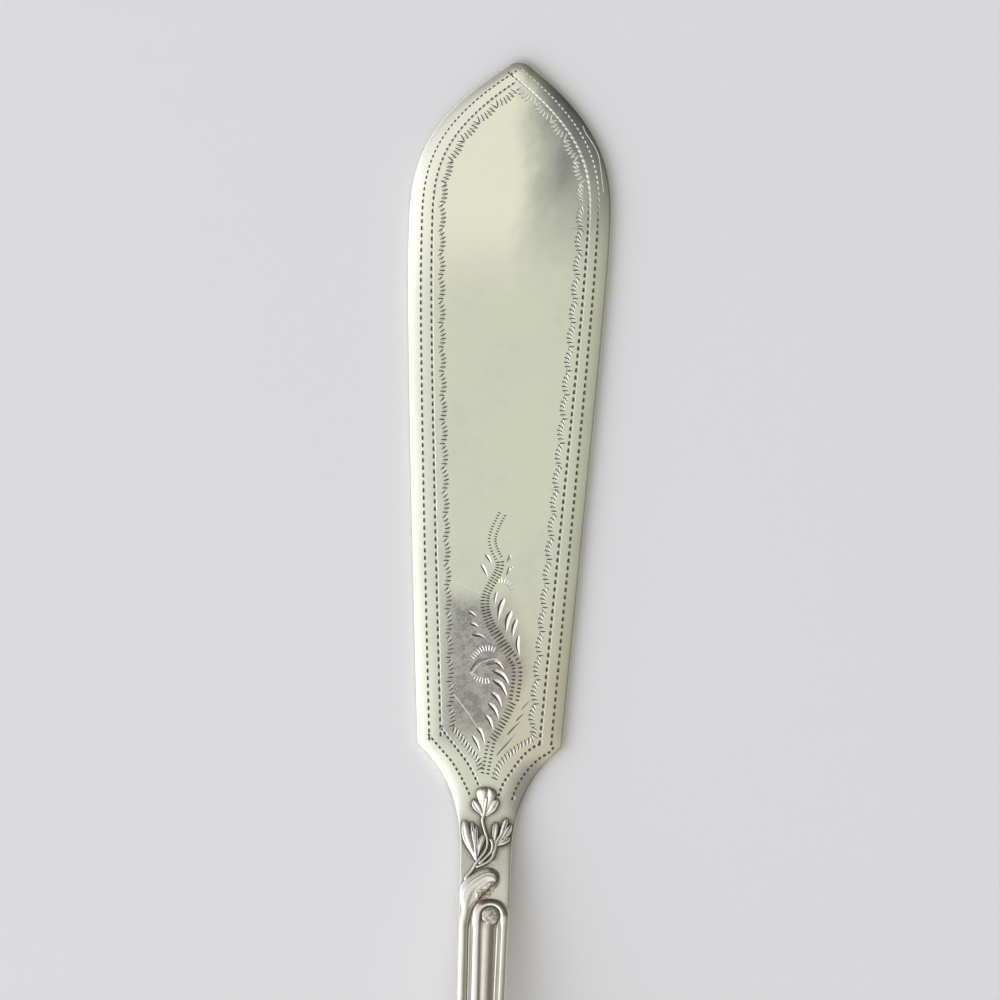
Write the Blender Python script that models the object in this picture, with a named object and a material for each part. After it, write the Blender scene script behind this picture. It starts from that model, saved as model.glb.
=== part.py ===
"""Master butter knife: a flat pointed blade, a thread-edged handle and a leaf sprig over the joint.

Metres, +Z up. The knife lies on its blade with the decorated face up. +Y points to the blade's tip,
and the origin is on the table under the middle of the knife's length. Every distance along the knife
is measured from the tip.
"""

import math

import bmesh
import bpy
from mathutils import Vector
from mathutils.geometry import interpolate_bezier

# Lengths along the knife
LENGTH = 0.184
ARCH_LENGTH = 0.0175
BLADE_LENGTH = 0.0747
SHOULDER_RUN = 0.0125
STEM_RUN = 0.0248
END_RUN = 0.014

# Distances from the tip to the seam, the handle's waist and the start of its rounded end
SEAM = BLADE_LENGTH + SHOULDER_RUN
WAIST = SEAM + STEM_RUN
END_START = LENGTH - END_RUN

# Widths across the knife
BLADE_WIDTH = 0.0221
SHOULDER_WIDTH = 0.0159
NECK_WIDTH = 0.0056
WAIST_WIDTH = 0.0052
END_WIDTH = 0.0160

# Shape of the blade's outline
TIP_RADIUS = 0.0020
TIP_LEAN = 0.00028
TIP_LEAN_RUN = 0.010
BLADE_LEAN = 0.00037
BLADE_LEAN_RUN = 0.069
NOSE_ANGLE = math.radians(35.8)
ARCH_LEAD = 0.0106
ARCH_FALL = 0.0061
TAPER_LEAD = 0.0069
TAPER_SETTLE = 0.79
SHOULDER_ANGLE = math.radians(42)
SHOULDER_LEAD = 0.0045
SHOULDER_FALL = 0.0060

# Shape of the handle's outline
STEM_EASE = 0.33
FLARE_EASE_IN = 0.38
FLARE_EASE_OUT = 0.41
END_ROUNDNESS = 0.56

# Side view
ARCH_RISE = 0.006
RISE_START = BLADE_LENGTH + 0.0053
BLADE_THICK = 0.0014
NECK_THICK = 0.0026
END_THICK = 0.0018
THICKEN_START = RISE_START
THICKEN_END = SEAM + 0.0028

# Cross section: flat underside, rounded lower edge, upright side, bevelled upper edge
BLADE_UNDER = 0.0004
HANDLE_UNDER = 0.0011
BLADE_SIDE = 0.0003
HANDLE_SIDE = 0.0009
BLADE_BEVEL = 0.0014
HANDLE_BEVEL = 0.0003
BLADE_DROP = 0.00035
HANDLE_DROP = 0.0003
UNDER_ROUNDING = 0.3

# Scribed lines round the blade, outer and inner: their insets on each side and at the shoulders
LINE_WIDTH = 0.00036
LINE_DEPTH = 0.00006
LINE_RISE = 0.5
LINE_OVERRUN = 0.00035
SIDE_INSETS = {"left": (0.00145, 0.00262), "right": (0.00142, 0.00260)}
SHOULDER_INSETS = (0.0012, 0.0023)
SHOULDER_LINES_END = 0.0061

# Joint between blade and handle
TANG_LENGTH = 0.010
TANG_WIDTH = 0.0030
TANG_TIP_WIDTH = 0.0022
TANG_THICK = 0.0010
TANG_ROOT = 0.002
SOLDER_FILM = 0.00006

# Threads on the handle
TENDRIL_WIDTH = 0.0010
TENDRIL_HEIGHT = 0.00055
TENDRIL_LAND = 0.00010
TENDRIL_TAIL = WAIST + 0.020
TAIL_TAPER = 0.014
LOOP_TOP = SEAM + 0.0040
LOOP_WIDTH = 0.00125
LOOP_HEAD_WIDTH = 0.0007
LOOP_HEAD_RUN = 0.0004
LOOP_WIDEN_RUN = 0.0020
LOOP_HEIGHT = 0.0005
LOOP_VALLEY = 0.4
LOOP_GAP = 0.00014
LOOP_SPREAD = WAIST + 0.006
LOOP_SETTLED = WAIST + 0.028
BEAD_GAP = 0.00012
BEAD_HEIGHT = 0.00055
RIB_GAP = 0.00012
RIB_HEIGHT = 0.0004
RIB_END = WAIST + 0.016
RIB_TAPER = 0.016
THIN_END = 0.2

# The hook and the leaf sprig are drawn for a neck of this width, and grow and shrink with the neck.
# A place on the neck is a distance across from its axis and a distance past the seam.
SPRIG_NECK = 0.0056
HOOK_WIDTH = 0.0023
HOOK_HEIGHT = 0.0010
HOOK_HEAD = (0.00170, 0.0023)
HOOK_CREST = (0.00020, 0.0007)
HOOK_BACK = 0.0046
HOOK_JOIN = 0.0063
HOOK_TAPER = 0.0078
STEM_WIDTH = 0.00042
STEM_HEIGHT = 0.00042
VEIN_HEIGHT = 0.00084

# Each stem starts as the vein in its leaf and leaves it at the leaf's base
STEMS = {
    "top_leaf": [
        (-0.00004, -0.0073), (-0.00016, -0.0060), (-0.00028, -0.0049), (-0.00030, -0.0042),
        (0.00008, -0.0030), (0.00022, -0.0015), (-0.00050, -0.0001), (-0.00130, 0.0006),
        (-0.00200, 0.0014), (-0.00222, 0.0019),
    ],
    "left_leaf": [(-0.00165, -0.0039), (-0.00128, -0.0022), (-0.00099, -0.0007), (-0.00097, -0.0003)],
    "right_leaf": [
        (0.00175, -0.0044), (0.00138, -0.0031), (0.00112, -0.0022), (0.00095, -0.0014),
        (0.00058, -0.0005), (0.00010, 0.00025),
    ],
}

# Each leaf has its base, and the tip, the width and the fullest place of each of its lobes
LOBE_HEIGHT = 0.00072
LOBE_ROOT = 0.4
RELIEF_STEP = 0.00002
LEAVES = {
    "top_leaf": (
        (-0.00030, -0.0046),
        [
            ((-0.00006, -0.0081), 0.00220, 0.78), ((-0.00158, -0.0064), 0.00112, 0.6),
            ((0.00124, -0.0064), 0.00112, 0.6),
        ],
    ),
    "left_leaf": (
        (-0.00098, -0.0006),
        [
            ((-0.00195, -0.0050), 0.00130, 0.6), ((-0.00110, -0.0045), 0.00100, 0.6),
            ((-0.00242, -0.0035), 0.00105, 0.6), ((-0.00032, -0.0026), 0.00085, 0.6),
        ],
    ),
    "right_leaf": (
        (0.00105, -0.0019),
        [
            ((0.00242, -0.0053), 0.00130, 0.6), ((0.00130, -0.0050), 0.00115, 0.6),
            ((0.00258, -0.0035), 0.00100, 0.6), ((0.00062, -0.0039), 0.00085, 0.6),
        ],
    ),
}

# Fineness of the facets
NOSE_STEPS = 4
ARCH_STEPS = 12
TAPER_STEPS = 6
SHOULDER_STEPS = 12
STEM_STEPS = 6
FLARE_STEPS = 14
END_STEPS = 18
HOOK_STEPS = 14
THREAD_SIDES = 6
REED_SIDES = 4
THREAD_PITCH = 0.0016
HOOK_PITCH = 0.0006
STEM_PITCH = 0.0005
LOBE_STEPS = 7
ROUND_STEPS = 4
ROUND_START = 0.4
PATH_EASE = 1 / 6
BEAD_SPOKES = 20
BEAD_RINGS = (0.96, 0.8, 0.5)
TANG_STEPS = 4
MERGE_DISTANCE = 1e-7
SHARP_ANGLE = math.radians(38)


for leftover in list(bpy.data.objects):
    bpy.data.objects.remove(leftover)


def mix(start, end, share):
    return start + (end - start) * share


def smooth(share):
    """Ease from 0 to 1 with level ends."""
    share = min(max(share, 0.0), 1.0)
    return share * share * (3 - 2 * share)


def bezier(start, start_handle, end_handle, end, steps):
    """Points of one curve, without its last point."""
    return interpolate_bezier(start, start_handle, end_handle, end, steps + 1)[:-1]


def lift(distance):
    """Height of the underside: flat under the blade, then one long bow down to the handle's end."""
    share = max(distance - RISE_START, 0.0) / (LENGTH - RISE_START)
    return ARCH_RISE * math.sin(math.pi * min(share, 1.0)) ** 2


def thickness(distance):
    blade_to_neck = smooth((distance - THICKEN_START) / (THICKEN_END - THICKEN_START))
    neck_to_end = smooth((distance - WAIST) / (LENGTH - WAIST))
    return mix(mix(BLADE_THICK, NECK_THICK, blade_to_neck), END_THICK, neck_to_end)


def face(distance):
    """Height of the decorated face."""
    return lift(distance) + thickness(distance)


def place(across, distance, height):
    """A place on the knife, whose blade leans a little to the right towards its tip."""
    lean = BLADE_LEAN * max(1 - distance / BLADE_LEAN_RUN, 0.0) ** 2
    lean += TIP_LEAN * max(1 - distance / TIP_LEAN_RUN, 0.0) ** 2
    return Vector((across + lean, LENGTH / 2 - distance, height))


def on_neck(size):
    """A size of the hook or the sprig, fitted to the neck."""
    return size * NECK_WIDTH / SPRIG_NECK


def spot_on_neck(spot):
    """A place of the hook or the sprig as (across, distance)."""
    return Vector((on_neck(spot[0]), SEAM + on_neck(spot[1])))


def section(distance):
    """Inset from the outline and height above the underside, from the underside to the top face."""
    share = smooth((distance - BLADE_LENGTH) / SHOULDER_RUN)
    under = mix(BLADE_UNDER, HANDLE_UNDER, share)
    side = mix(BLADE_SIDE, HANDLE_SIDE, share)
    bevel = mix(BLADE_BEVEL, HANDLE_BEVEL, share)
    drop = mix(BLADE_DROP, HANDLE_DROP, share)
    thick = thickness(distance)
    return (
        (under, 0.0),
        (under * UNDER_ROUNDING, side * UNDER_ROUNDING),
        (0.0, side),
        (0.0, thick - drop),
        (bevel, thick),
    )


def blade_nose():
    """Rounded point of the blade, up to where its arch starts."""
    angles = [NOSE_ANGLE * step / NOSE_STEPS for step in range(NOSE_STEPS + 1)]
    return [Vector((math.sin(angle), 1 - math.cos(angle))) * TIP_RADIUS for angle in angles]


def blade_side():
    """Arch and taper of the blade's right side, from its nose to the corner of its shoulder."""
    start = blade_nose()[-1]
    slope = Vector((math.cos(NOSE_ANGLE), math.sin(NOSE_ANGLE)))
    widest = Vector((BLADE_WIDTH / 2, ARCH_LENGTH))
    arch = bezier(start, start + slope * ARCH_LEAD, widest - Vector((0, ARCH_FALL)), widest, ARCH_STEPS)
    corner = Vector((SHOULDER_WIDTH / 2, BLADE_LENGTH))
    taper_handle = widest + Vector((0, TAPER_LEAD))
    taper = bezier(widest, taper_handle, corner.lerp(taper_handle, TAPER_SETTLE), corner, TAPER_STEPS)
    return arch + taper + [corner]


def blade_shoulder():
    """Hollow right shoulder, from its corner to the seam at the neck."""
    corner = Vector((SHOULDER_WIDTH / 2, BLADE_LENGTH))
    slope = Vector((-math.cos(SHOULDER_ANGLE), math.sin(SHOULDER_ANGLE)))
    neck = Vector((NECK_WIDTH / 2, SEAM))
    fall = Vector((0, SHOULDER_FALL))
    return bezier(corner, corner + slope * SHOULDER_LEAD, neck - fall, neck, SHOULDER_STEPS) + [neck]


def blade_edge():
    """Right edge of the blade as (across, distance), from the tip to the seam at the neck."""
    return blade_nose()[:-1] + blade_side()[:-1] + blade_shoulder()


def handle_edge():
    """Right edge of the handle as (across, distance), from the seam to the middle of its end."""
    neck = Vector((NECK_WIDTH / 2, SEAM + SOLDER_FILM))
    waist = Vector((WAIST_WIDTH / 2, WAIST))
    widest = Vector((END_WIDTH / 2, END_START))
    end = Vector((0, LENGTH))
    stem_lead = Vector((0, STEM_RUN * STEM_EASE))
    stem = bezier(neck, neck + stem_lead, waist - stem_lead, waist, STEM_STEPS)
    flare_run = Vector((0, END_START - WAIST))
    flare = bezier(
        waist, waist + flare_run * FLARE_EASE_IN, widest - flare_run * FLARE_EASE_OUT, widest, FLARE_STEPS
    )
    end_handle = Vector((END_WIDTH / 2 * END_ROUNDNESS, 0))
    widest_handle = Vector((0, END_RUN * END_ROUNDNESS))
    rounded = bezier(widest, widest + widest_handle, end + end_handle, end, END_STEPS)
    return stem + flare + rounded + [end]


def draw_in(edge, inset_at):
    """The edge moved inwards, square to itself, by an inset that may change along it."""
    moved = []
    for index, point in enumerate(edge):
        before = edge[index - 1] if index else Vector((-edge[1].x, edge[1].y))
        after = edge[index + 1] if index + 1 < len(edge) else Vector((-edge[-2].x, edge[-2].y))
        if index == 0 and point.x > 0:
            before = point - Vector((0, 1))
        if index + 1 == len(edge) and point.x > 0:
            after = point + Vector((0, 1))
        into = (point - before).normalized()
        out = (after - point).normalized()
        along = (into + out).normalized()
        inwards = Vector((-along.y, along.x))
        moved.append(point + inwards * (inset_at(point.y) / along.dot(out)))
    return [Vector((max(point.x, 0.0), point.y)) for point in moved]


def finish(name, mesh_data, material):
    """Turn a bmesh into a named object, shaded smooth where it is round."""
    bmesh.ops.remove_doubles(mesh_data, verts=mesh_data.verts, dist=MERGE_DISTANCE)
    bmesh.ops.recalc_face_normals(mesh_data, faces=mesh_data.faces)
    mesh = bpy.data.meshes.new(name)
    mesh_data.to_mesh(mesh)
    mesh_data.free()
    mesh.shade_smooth()
    mesh.set_sharp_from_angle(angle=SHARP_ANGLE)
    if material:
        mesh.materials.append(material)
    piece = bpy.data.objects.new(name, mesh)
    bpy.context.collection.objects.link(piece)
    return piece


def silver(name, colour, roughness):
    material = bpy.data.materials.new(name)
    material.use_nodes = True
    shader = material.node_tree.nodes["Principled BSDF"]
    shader.inputs["Base Color"].default_value = (*colour, 1)
    shader.inputs["Roughness"].default_value = roughness
    shader.inputs["Metallic"].default_value = 1
    return material


def add_face(mesh_data, corners):
    """A face on its distinct corners, left out where the corners run together."""
    distinct = list(dict.fromkeys(corners))
    if len(distinct) > 2:
        mesh_data.faces.new(distinct)


def plate(name, edge, section_at, material=None):
    """A solid with the same outline on both sides of the axis and a section that varies along it."""
    mesh_data = bmesh.new()
    layers = []
    for level in range(len(section_at(edge[0].y))):
        drawn = draw_in(edge, lambda distance: section_at(distance)[level][0])
        row = []
        for outline, point in zip(edge, drawn):
            height = section_at(outline.y)[level][1]
            base = lift(outline.y)
            right = mesh_data.verts.new(place(point.x, point.y, base + height))
            left = right
            if point.x > 0:
                left = mesh_data.verts.new(place(-point.x, point.y, base + height))
            row.append((right, left))
        layers.append(row)
    last = len(edge) - 1
    for step in range(last):
        for lower, upper in zip(layers, layers[1:]):
            for side in (0, 1):
                add_face(
                    mesh_data,
                    (lower[step][side], lower[step + 1][side], upper[step + 1][side], upper[step][side]),
                )
        for row in (layers[0], layers[-1]):
            add_face(mesh_data, (row[step][0], row[step + 1][0], row[step + 1][1], row[step][1]))
    for step in (0, last):
        right_side = [row[step][0] for row in layers]
        left_side = [row[step][1] for row in reversed(layers)]
        if right_side[0] is not left_side[-1]:
            add_face(mesh_data, right_side + left_side)
    return finish(name, mesh_data, material)


def tang(name, film):
    """The blade's tang, or with a film round it the socket that takes it."""
    start = SEAM - TANG_ROOT
    end = SEAM + TANG_LENGTH + film
    edge = []
    for step in range(TANG_STEPS + 1):
        share = step / TANG_STEPS
        width = mix(TANG_WIDTH, TANG_TIP_WIDTH, share) / 2 + film
        edge.append(Vector((width, mix(start, end, share))))

    def tang_section(distance):
        middle = thickness(distance) / 2
        half = TANG_THICK / 2 + film
        return ((0.0, middle - half), (0.0, middle + half))

    return guide(plate(name, edge, tang_section))


def combine(piece, other, operation):
    modifier = piece.modifiers.new(other.name, "BOOLEAN")
    modifier.operation = operation
    modifier.object = other


def path_length(path):
    return sum((after - before).length for before, after in zip(path, path[1:]))


def walk(path, runs):
    """The points of a path at increasing runs along it."""
    spots = []
    segment = 0
    passed = 0.0
    length = (path[1] - path[0]).length
    for run in runs:
        while run > passed + length and segment + 2 < len(path):
            passed += length
            segment += 1
            length = (path[segment + 1] - path[segment]).length
        spots.append(path[segment].lerp(path[segment + 1], (run - passed) / length))
    return spots


def stations(total, pitch, start_round=0.0, end_round=0.0):
    """Runs along a thread near an even pitch, close together where an end is rounded."""
    quarter = math.pi / 2 / (ROUND_STEPS + ROUND_START)
    angles = [quarter * (step + ROUND_START) for step in range(ROUND_STEPS)]
    first = [start_round * (1 - math.cos(angle)) for angle in angles] if start_round else []
    last = [total - end_round * (1 - math.cos(angle)) for angle in reversed(angles)] if end_round else []
    middle = total - start_round - end_round
    count = max(1, round(middle / pitch))
    return first + [start_round + middle * step / count for step in range(count + 1)] + last


def round_end(run, radius):
    """Share of the full width at a run from a rounded end."""
    return math.sqrt(max(1 - (1 - min(run / radius, 1.0)) ** 2, 0.0))


def rounded_path(points, steps):
    """A smooth path through points."""
    path = []
    for index in range(len(points) - 1):
        before = points[max(index - 1, 0)]
        after = points[min(index + 2, len(points) - 1)]
        start, end = points[index], points[index + 1]
        leave = start + (end - before) * PATH_EASE
        arrive = end - (after - start) * PATH_EASE
        path += bezier(start, leave, arrive, end, steps)
    return path + [points[-1]]


def half_round():
    """Outline of a plain thread as shares of its half width and its height."""
    angles = [math.pi * side / THREAD_SIDES for side in range(THREAD_SIDES + 1)]
    return [(math.cos(angle), math.sin(angle)) for angle in angles]


def reeded():
    """Outline of a double thread: two rounds side by side with a valley between them."""
    angles = [math.pi * side / REED_SIDES for side in range(REED_SIDES + 1)]
    round_one = [((1 + math.cos(angle)) / 2, mix(LOOP_VALLEY, 1.0, math.sin(angle))) for angle in angles]
    round_two = [(offset - 1, height) for offset, height in round_one[1:]]
    return [(1.0, 0.0)] + round_one + round_two + [(-1.0, 0.0)]


def thread(name, path, runs, size_at, material=None, closed=False, step_up=0.0, outline=half_round):
    """A thread lying along a path on the decorated face.

    size_at gives the half width and the height at a run along the path.
    """
    mesh_data = bmesh.new()
    points = walk(path, runs)
    rings = []
    count = len(points)
    for index, (point, run) in enumerate(zip(points, runs)):
        before = points[index - 1] if index or closed else point
        after = points[(index + 1) % count] if index + 1 < count or closed else point
        along = (after - before).normalized()
        across = Vector((-along.y, along.x))
        half_width, height = size_at(run)
        ring = []
        for offset, rise in outline():
            spot = point + across * (half_width * offset)
            base = face(spot.y) + SOLDER_FILM + step_up
            ring.append(mesh_data.verts.new(place(spot.x, spot.y, base + height * rise)))
        rings.append(ring)
    pairs = list(zip(rings, rings[1:]))
    if closed:
        pairs.append((rings[-1], rings[0]))
    else:
        mesh_data.faces.new(rings[0])
        mesh_data.faces.new(rings[-1])
    for ring, following in pairs:
        for side in range(len(ring)):
            beside = (side + 1) % len(ring)
            mesh_data.faces.new((ring[side], ring[beside], following[beside], following[side]))
    return finish(name, mesh_data, material)


def guide(piece):
    """Keep a piece as a helper for another one's shape."""
    piece.hide_render = True
    piece.display_type = "WIRE"
    return piece


def v_cut():
    """Outline of a V-shaped cutter that stands a little out of the face it cuts."""
    return [(1 + LINE_RISE, LINE_RISE), (-1 - LINE_RISE, LINE_RISE), (0.0, -1.0)]


def beside(edge, inset):
    """A line at one inset beside an edge, without the edge's first and last point."""
    line = []
    for before, point, after in zip(edge, edge[1:], edge[2:]):
        along = (after - before).normalized()
        line.append(point + Vector((-along.y, along.x)) * inset)
    return line


def side_line(inset):
    """A line along the blade's right side, from past the axis at the tip to past the corner."""
    line = [point for point in beside(blade_side(), inset) if point.x > 0]
    slope = line[1] - line[0]
    start = line[0] - slope * ((line[0].x + LINE_OVERRUN) / slope.x)
    return [start] + line + [Vector((SHOULDER_WIDTH / 2 - inset, BLADE_LENGTH))]


def shoulder_line(inset):
    """A line along the right shoulder, from its corner to where the sprig starts."""
    line = beside(blade_shoulder(), inset)
    return [point for point in line if BLADE_LENGTH < point.y < BLADE_LENGTH + SHOULDER_LINES_END]


def scribe(blade, name, path):
    """Cut a line into the blade's face."""
    runs = [path_length(path[:index + 1]) for index in range(len(path))]
    size = (LINE_WIDTH / 2, LINE_DEPTH)
    cutter = thread(name, path, runs, lambda run: size, step_up=-SOLDER_FILM, outline=v_cut)
    combine(blade, guide(cutter), "DIFFERENCE")


def build_blade():
    blade = plate("blade", blade_edge(), section, silver("blade_silver", (0.80, 0.79, 0.72), 0.34))
    combine(blade, tang("tang", 0.0), "UNION")
    for side, insets in SIDE_INSETS.items():
        for row, (inset, shoulder_inset) in enumerate(zip(insets, SHOULDER_INSETS), start=1):
            lines = side_line(inset), shoulder_line(shoulder_inset)
            for line, spot in zip(lines, ("side", "shoulder")):
                path = line if side == "right" else mirrored(line)
                scribe(blade, f"{side}_{spot}_line_{row}", path)


def build_handle():
    handle = plate("handle", handle_edge(), section, silver("handle_silver", (0.76, 0.74, 0.68), 0.36))
    combine(handle, tang("tang_socket", SOLDER_FILM), "DIFFERENCE")


def tendril_inset(distance):
    return TENDRIL_LAND + TENDRIL_WIDTH / 2


def loop_left_inset(distance):
    return TENDRIL_LAND + TENDRIL_WIDTH + LOOP_GAP + LOOP_WIDTH / 2


def loop_right_inset(distance):
    """The right strand runs at the edge and moves in where the tendril's tail comes up beside it."""
    at_edge = TENDRIL_LAND + LOOP_WIDTH / 2
    share = smooth((distance - LOOP_SPREAD) / (LOOP_SETTLED - LOOP_SPREAD))
    return mix(at_edge, loop_left_inset(distance), share)


def mirrored(points):
    return [Vector((-point.x, point.y)) for point in points]


def half_width_at(line, distance):
    """Width of a drawn-in right edge at a distance, between its two nearest points."""
    for before, after in zip(line, line[1:]):
        if before.y <= distance <= after.y:
            return mix(before.x, after.x, (distance - before.y) / (after.y - before.y))
    return line[0].x


def build_tendril():
    """Hook over the loop's head, down the left edge, round the end and part of the way up the right."""
    edge = draw_in(handle_edge(), tendril_inset)
    join_distance = SEAM + on_neck(HOOK_JOIN)
    left = [point for point in mirrored(edge) if point.y > join_distance]
    join = Vector((-half_width_at(edge, join_distance), join_distance))
    back = join - Vector((0, on_neck(HOOK_BACK)))
    hook = bezier(spot_on_neck(HOOK_HEAD), spot_on_neck(HOOK_CREST), back, join, HOOK_STEPS) + [join]
    hook_width = on_neck(HOOK_WIDTH)
    right = [point for point in reversed(edge[:-1]) if point.y > TENDRIL_TAIL]
    path = hook + left + right
    hook_length = path_length(hook)
    total = path_length(path)
    hook_runs = stations(hook_length, HOOK_PITCH, start_round=hook_width / 2)
    edge_runs = [hook_length + run for run in stations(total - hook_length, THREAD_PITCH)]

    def size_at(run):
        share = smooth(run / on_neck(HOOK_TAPER))
        width = mix(hook_width, TENDRIL_WIDTH, share)
        height = mix(HOOK_HEIGHT, TENDRIL_HEIGHT, share)
        rounding = round_end(run, hook_width / 2)
        rounding *= mix(THIN_END, 1.0, smooth((total - run) / TAIL_TAPER))
        return width / 2 * rounding, height * rounding

    material = silver("tendril_silver", (0.82, 0.80, 0.74), 0.30)
    thread("edge_tendril", path, hook_runs + edge_runs[1:], size_at, material)


def loop_strands():
    """Right and left strand of the loop, from below its head to the end, and the head's centre."""
    edge = handle_edge()
    right = draw_in(edge, loop_right_inset)
    left = mirrored(draw_in(edge, loop_left_inset))
    head = LOOP_TOP + LOOP_WIDTH / 2
    right_x = half_width_at(right, head)
    left_x = -half_width_at(mirrored(left), head)
    radius = (right_x - left_x) / 2
    centre = Vector(((right_x + left_x) / 2, head + radius))
    return right, left, centre, radius


def build_loop():
    """A closed loop: round head, left strand, round the handle's end and the right strand back up."""
    right, left, centre, radius = loop_strands()
    head = [
        centre + Vector((math.cos(angle), -math.sin(angle))) * radius
        for angle in (math.pi * step / HOOK_STEPS for step in range(HOOK_STEPS + 1))
    ]
    down = [head[-1]] + [point for point in left if point.y > centre.y + radius]
    up = [point for point in reversed(right[:-1]) if point.y > centre.y + radius] + [head[0]]
    head_length = path_length(head)
    head_runs = stations(head_length, HOOK_PITCH)
    side_runs = [head_length + run for run in stations(path_length(down + up), THREAD_PITCH)]
    runs = head_runs + side_runs[1:-1]
    total = side_runs[-1]

    def size_at(run):
        past_head = min(run - head_length, total - run)
        width = mix(LOOP_HEAD_WIDTH, LOOP_WIDTH, smooth((past_head - LOOP_HEAD_RUN) / LOOP_WIDEN_RUN))
        return width / 2, LOOP_HEIGHT

    material = silver("loop_silver", (0.80, 0.78, 0.72), 0.32)
    thread("loop_thread", head + down[1:] + up, runs, size_at, material, closed=True, outline=reeded)


def bead_reach(head_radius):
    return head_radius - LOOP_HEAD_WIDTH / 2 - BEAD_GAP


def build_bead():
    """A low domed bead that fills the head of the loop."""
    right, left, centre, radius = loop_strands()
    reach = bead_reach(radius)
    mesh_data = bmesh.new()
    rings = []
    for share, height in [(1.0, 0.0)] + [(ring, math.sqrt(1 - ring * ring)) for ring in BEAD_RINGS]:
        ring = []
        for spoke in range(BEAD_SPOKES):
            angle = 2 * math.pi * spoke / BEAD_SPOKES
            spot = centre + Vector((math.cos(angle), math.sin(angle))) * (reach * share)
            base = face(spot.y) + SOLDER_FILM
            ring.append(mesh_data.verts.new(place(spot.x, spot.y, base + BEAD_HEIGHT * height)))
        rings.append(ring)
    crown = mesh_data.verts.new(place(centre.x, centre.y, face(centre.y) + SOLDER_FILM + BEAD_HEIGHT))
    mesh_data.faces.new(rings[0])
    for spoke in range(BEAD_SPOKES):
        beside = (spoke + 1) % BEAD_SPOKES
        mesh_data.faces.new((rings[-1][spoke], rings[-1][beside], crown))
        for ring, following in zip(rings, rings[1:]):
            mesh_data.faces.new((ring[spoke], ring[beside], following[beside], following[spoke]))
    finish("loop_bead", mesh_data, silver("bead_silver", (0.78, 0.72, 0.66), 0.36))


def build_rib():
    """A rib midway between the loop's strands, tapering off where they spread."""
    right, left, centre, radius = loop_strands()
    start = centre.y + bead_reach(radius) + BEAD_GAP
    left_line = mirrored(left)
    path = []
    spreads = []
    for step in range(FLARE_STEPS + 1):
        distance = mix(start, RIB_END, step / FLARE_STEPS)
        right_x = half_width_at(right, distance)
        left_x = -half_width_at(left_line, distance)
        path.append(Vector(((right_x + left_x) / 2, distance)))
        spreads.append(right_x - left_x)
    half_width = min(spreads) / 2 - LOOP_WIDTH / 2 - RIB_GAP
    total = path_length(path)

    def size_at(run):
        share = mix(THIN_END, 1.0, smooth((total - run) / RIB_TAPER)) * round_end(run, half_width)
        return half_width * share, RIB_HEIGHT * share

    runs = stations(total, THREAD_PITCH, start_round=half_width)
    thread("panel_rib", path, runs, size_at, silver("rib_silver", (0.66, 0.65, 0.60), 0.38))


def lobe(name, base, tip, width, fullest, step_up):
    """One lobe of a leaf: narrow at the base, fullest past its middle and rounded at the tip."""
    total = (tip - base).length
    tip_round = total * (1 - fullest)

    def size_at(run):
        swell = mix(LOBE_ROOT, 1.0, smooth(run / (total - tip_round))) * round_end(total - run, tip_round)
        return width / 2 * swell, LOBE_HEIGHT * swell

    runs = stations(total, total / LOBE_STEPS, end_round=tip_round)
    return guide(thread(name, [base, tip], runs, size_at, step_up=step_up))


def build_leaf(name):
    """A leaf of lobes that run together at its base, with creases between them, on its stem."""
    base_spot, lobes = LEAVES[name]
    base = spot_on_neck(base_spot)
    route = rounded_path([spot_on_neck(spot) for spot in STEMS[name]], ROUND_STEPS)
    total = path_length(route)
    vein = (route[0] - base).length
    half_width = on_neck(STEM_WIDTH) / 2

    def stem_size(run):
        rounding = round_end(total - run, half_width)
        return half_width * rounding, mix(VEIN_HEIGHT, STEM_HEIGHT, smooth(run / vein)) * rounding

    runs = stations(total, STEM_PITCH, end_round=half_width)
    leaf = thread(name, route, runs, stem_size, silver(name + "_silver", (0.80, 0.78, 0.72), 0.33))
    for index, (tip, width, fullest) in enumerate(lobes, start=1):
        step_up = RELIEF_STEP * index
        boss = lobe(f"{name}_lobe_{index}", base, spot_on_neck(tip), on_neck(width), fullest, step_up)
        combine(leaf, boss, "UNION")


build_blade()
build_handle()
build_tendril()
build_loop()
build_bead()
build_rib()
for leaf_name in LEAVES:
    build_leaf(leaf_name)
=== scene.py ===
import math

import bpy
from mathutils import Matrix, Vector
from mathutils.geometry import interpolate_bezier
from mathutils.kdtree import KDTree


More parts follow.
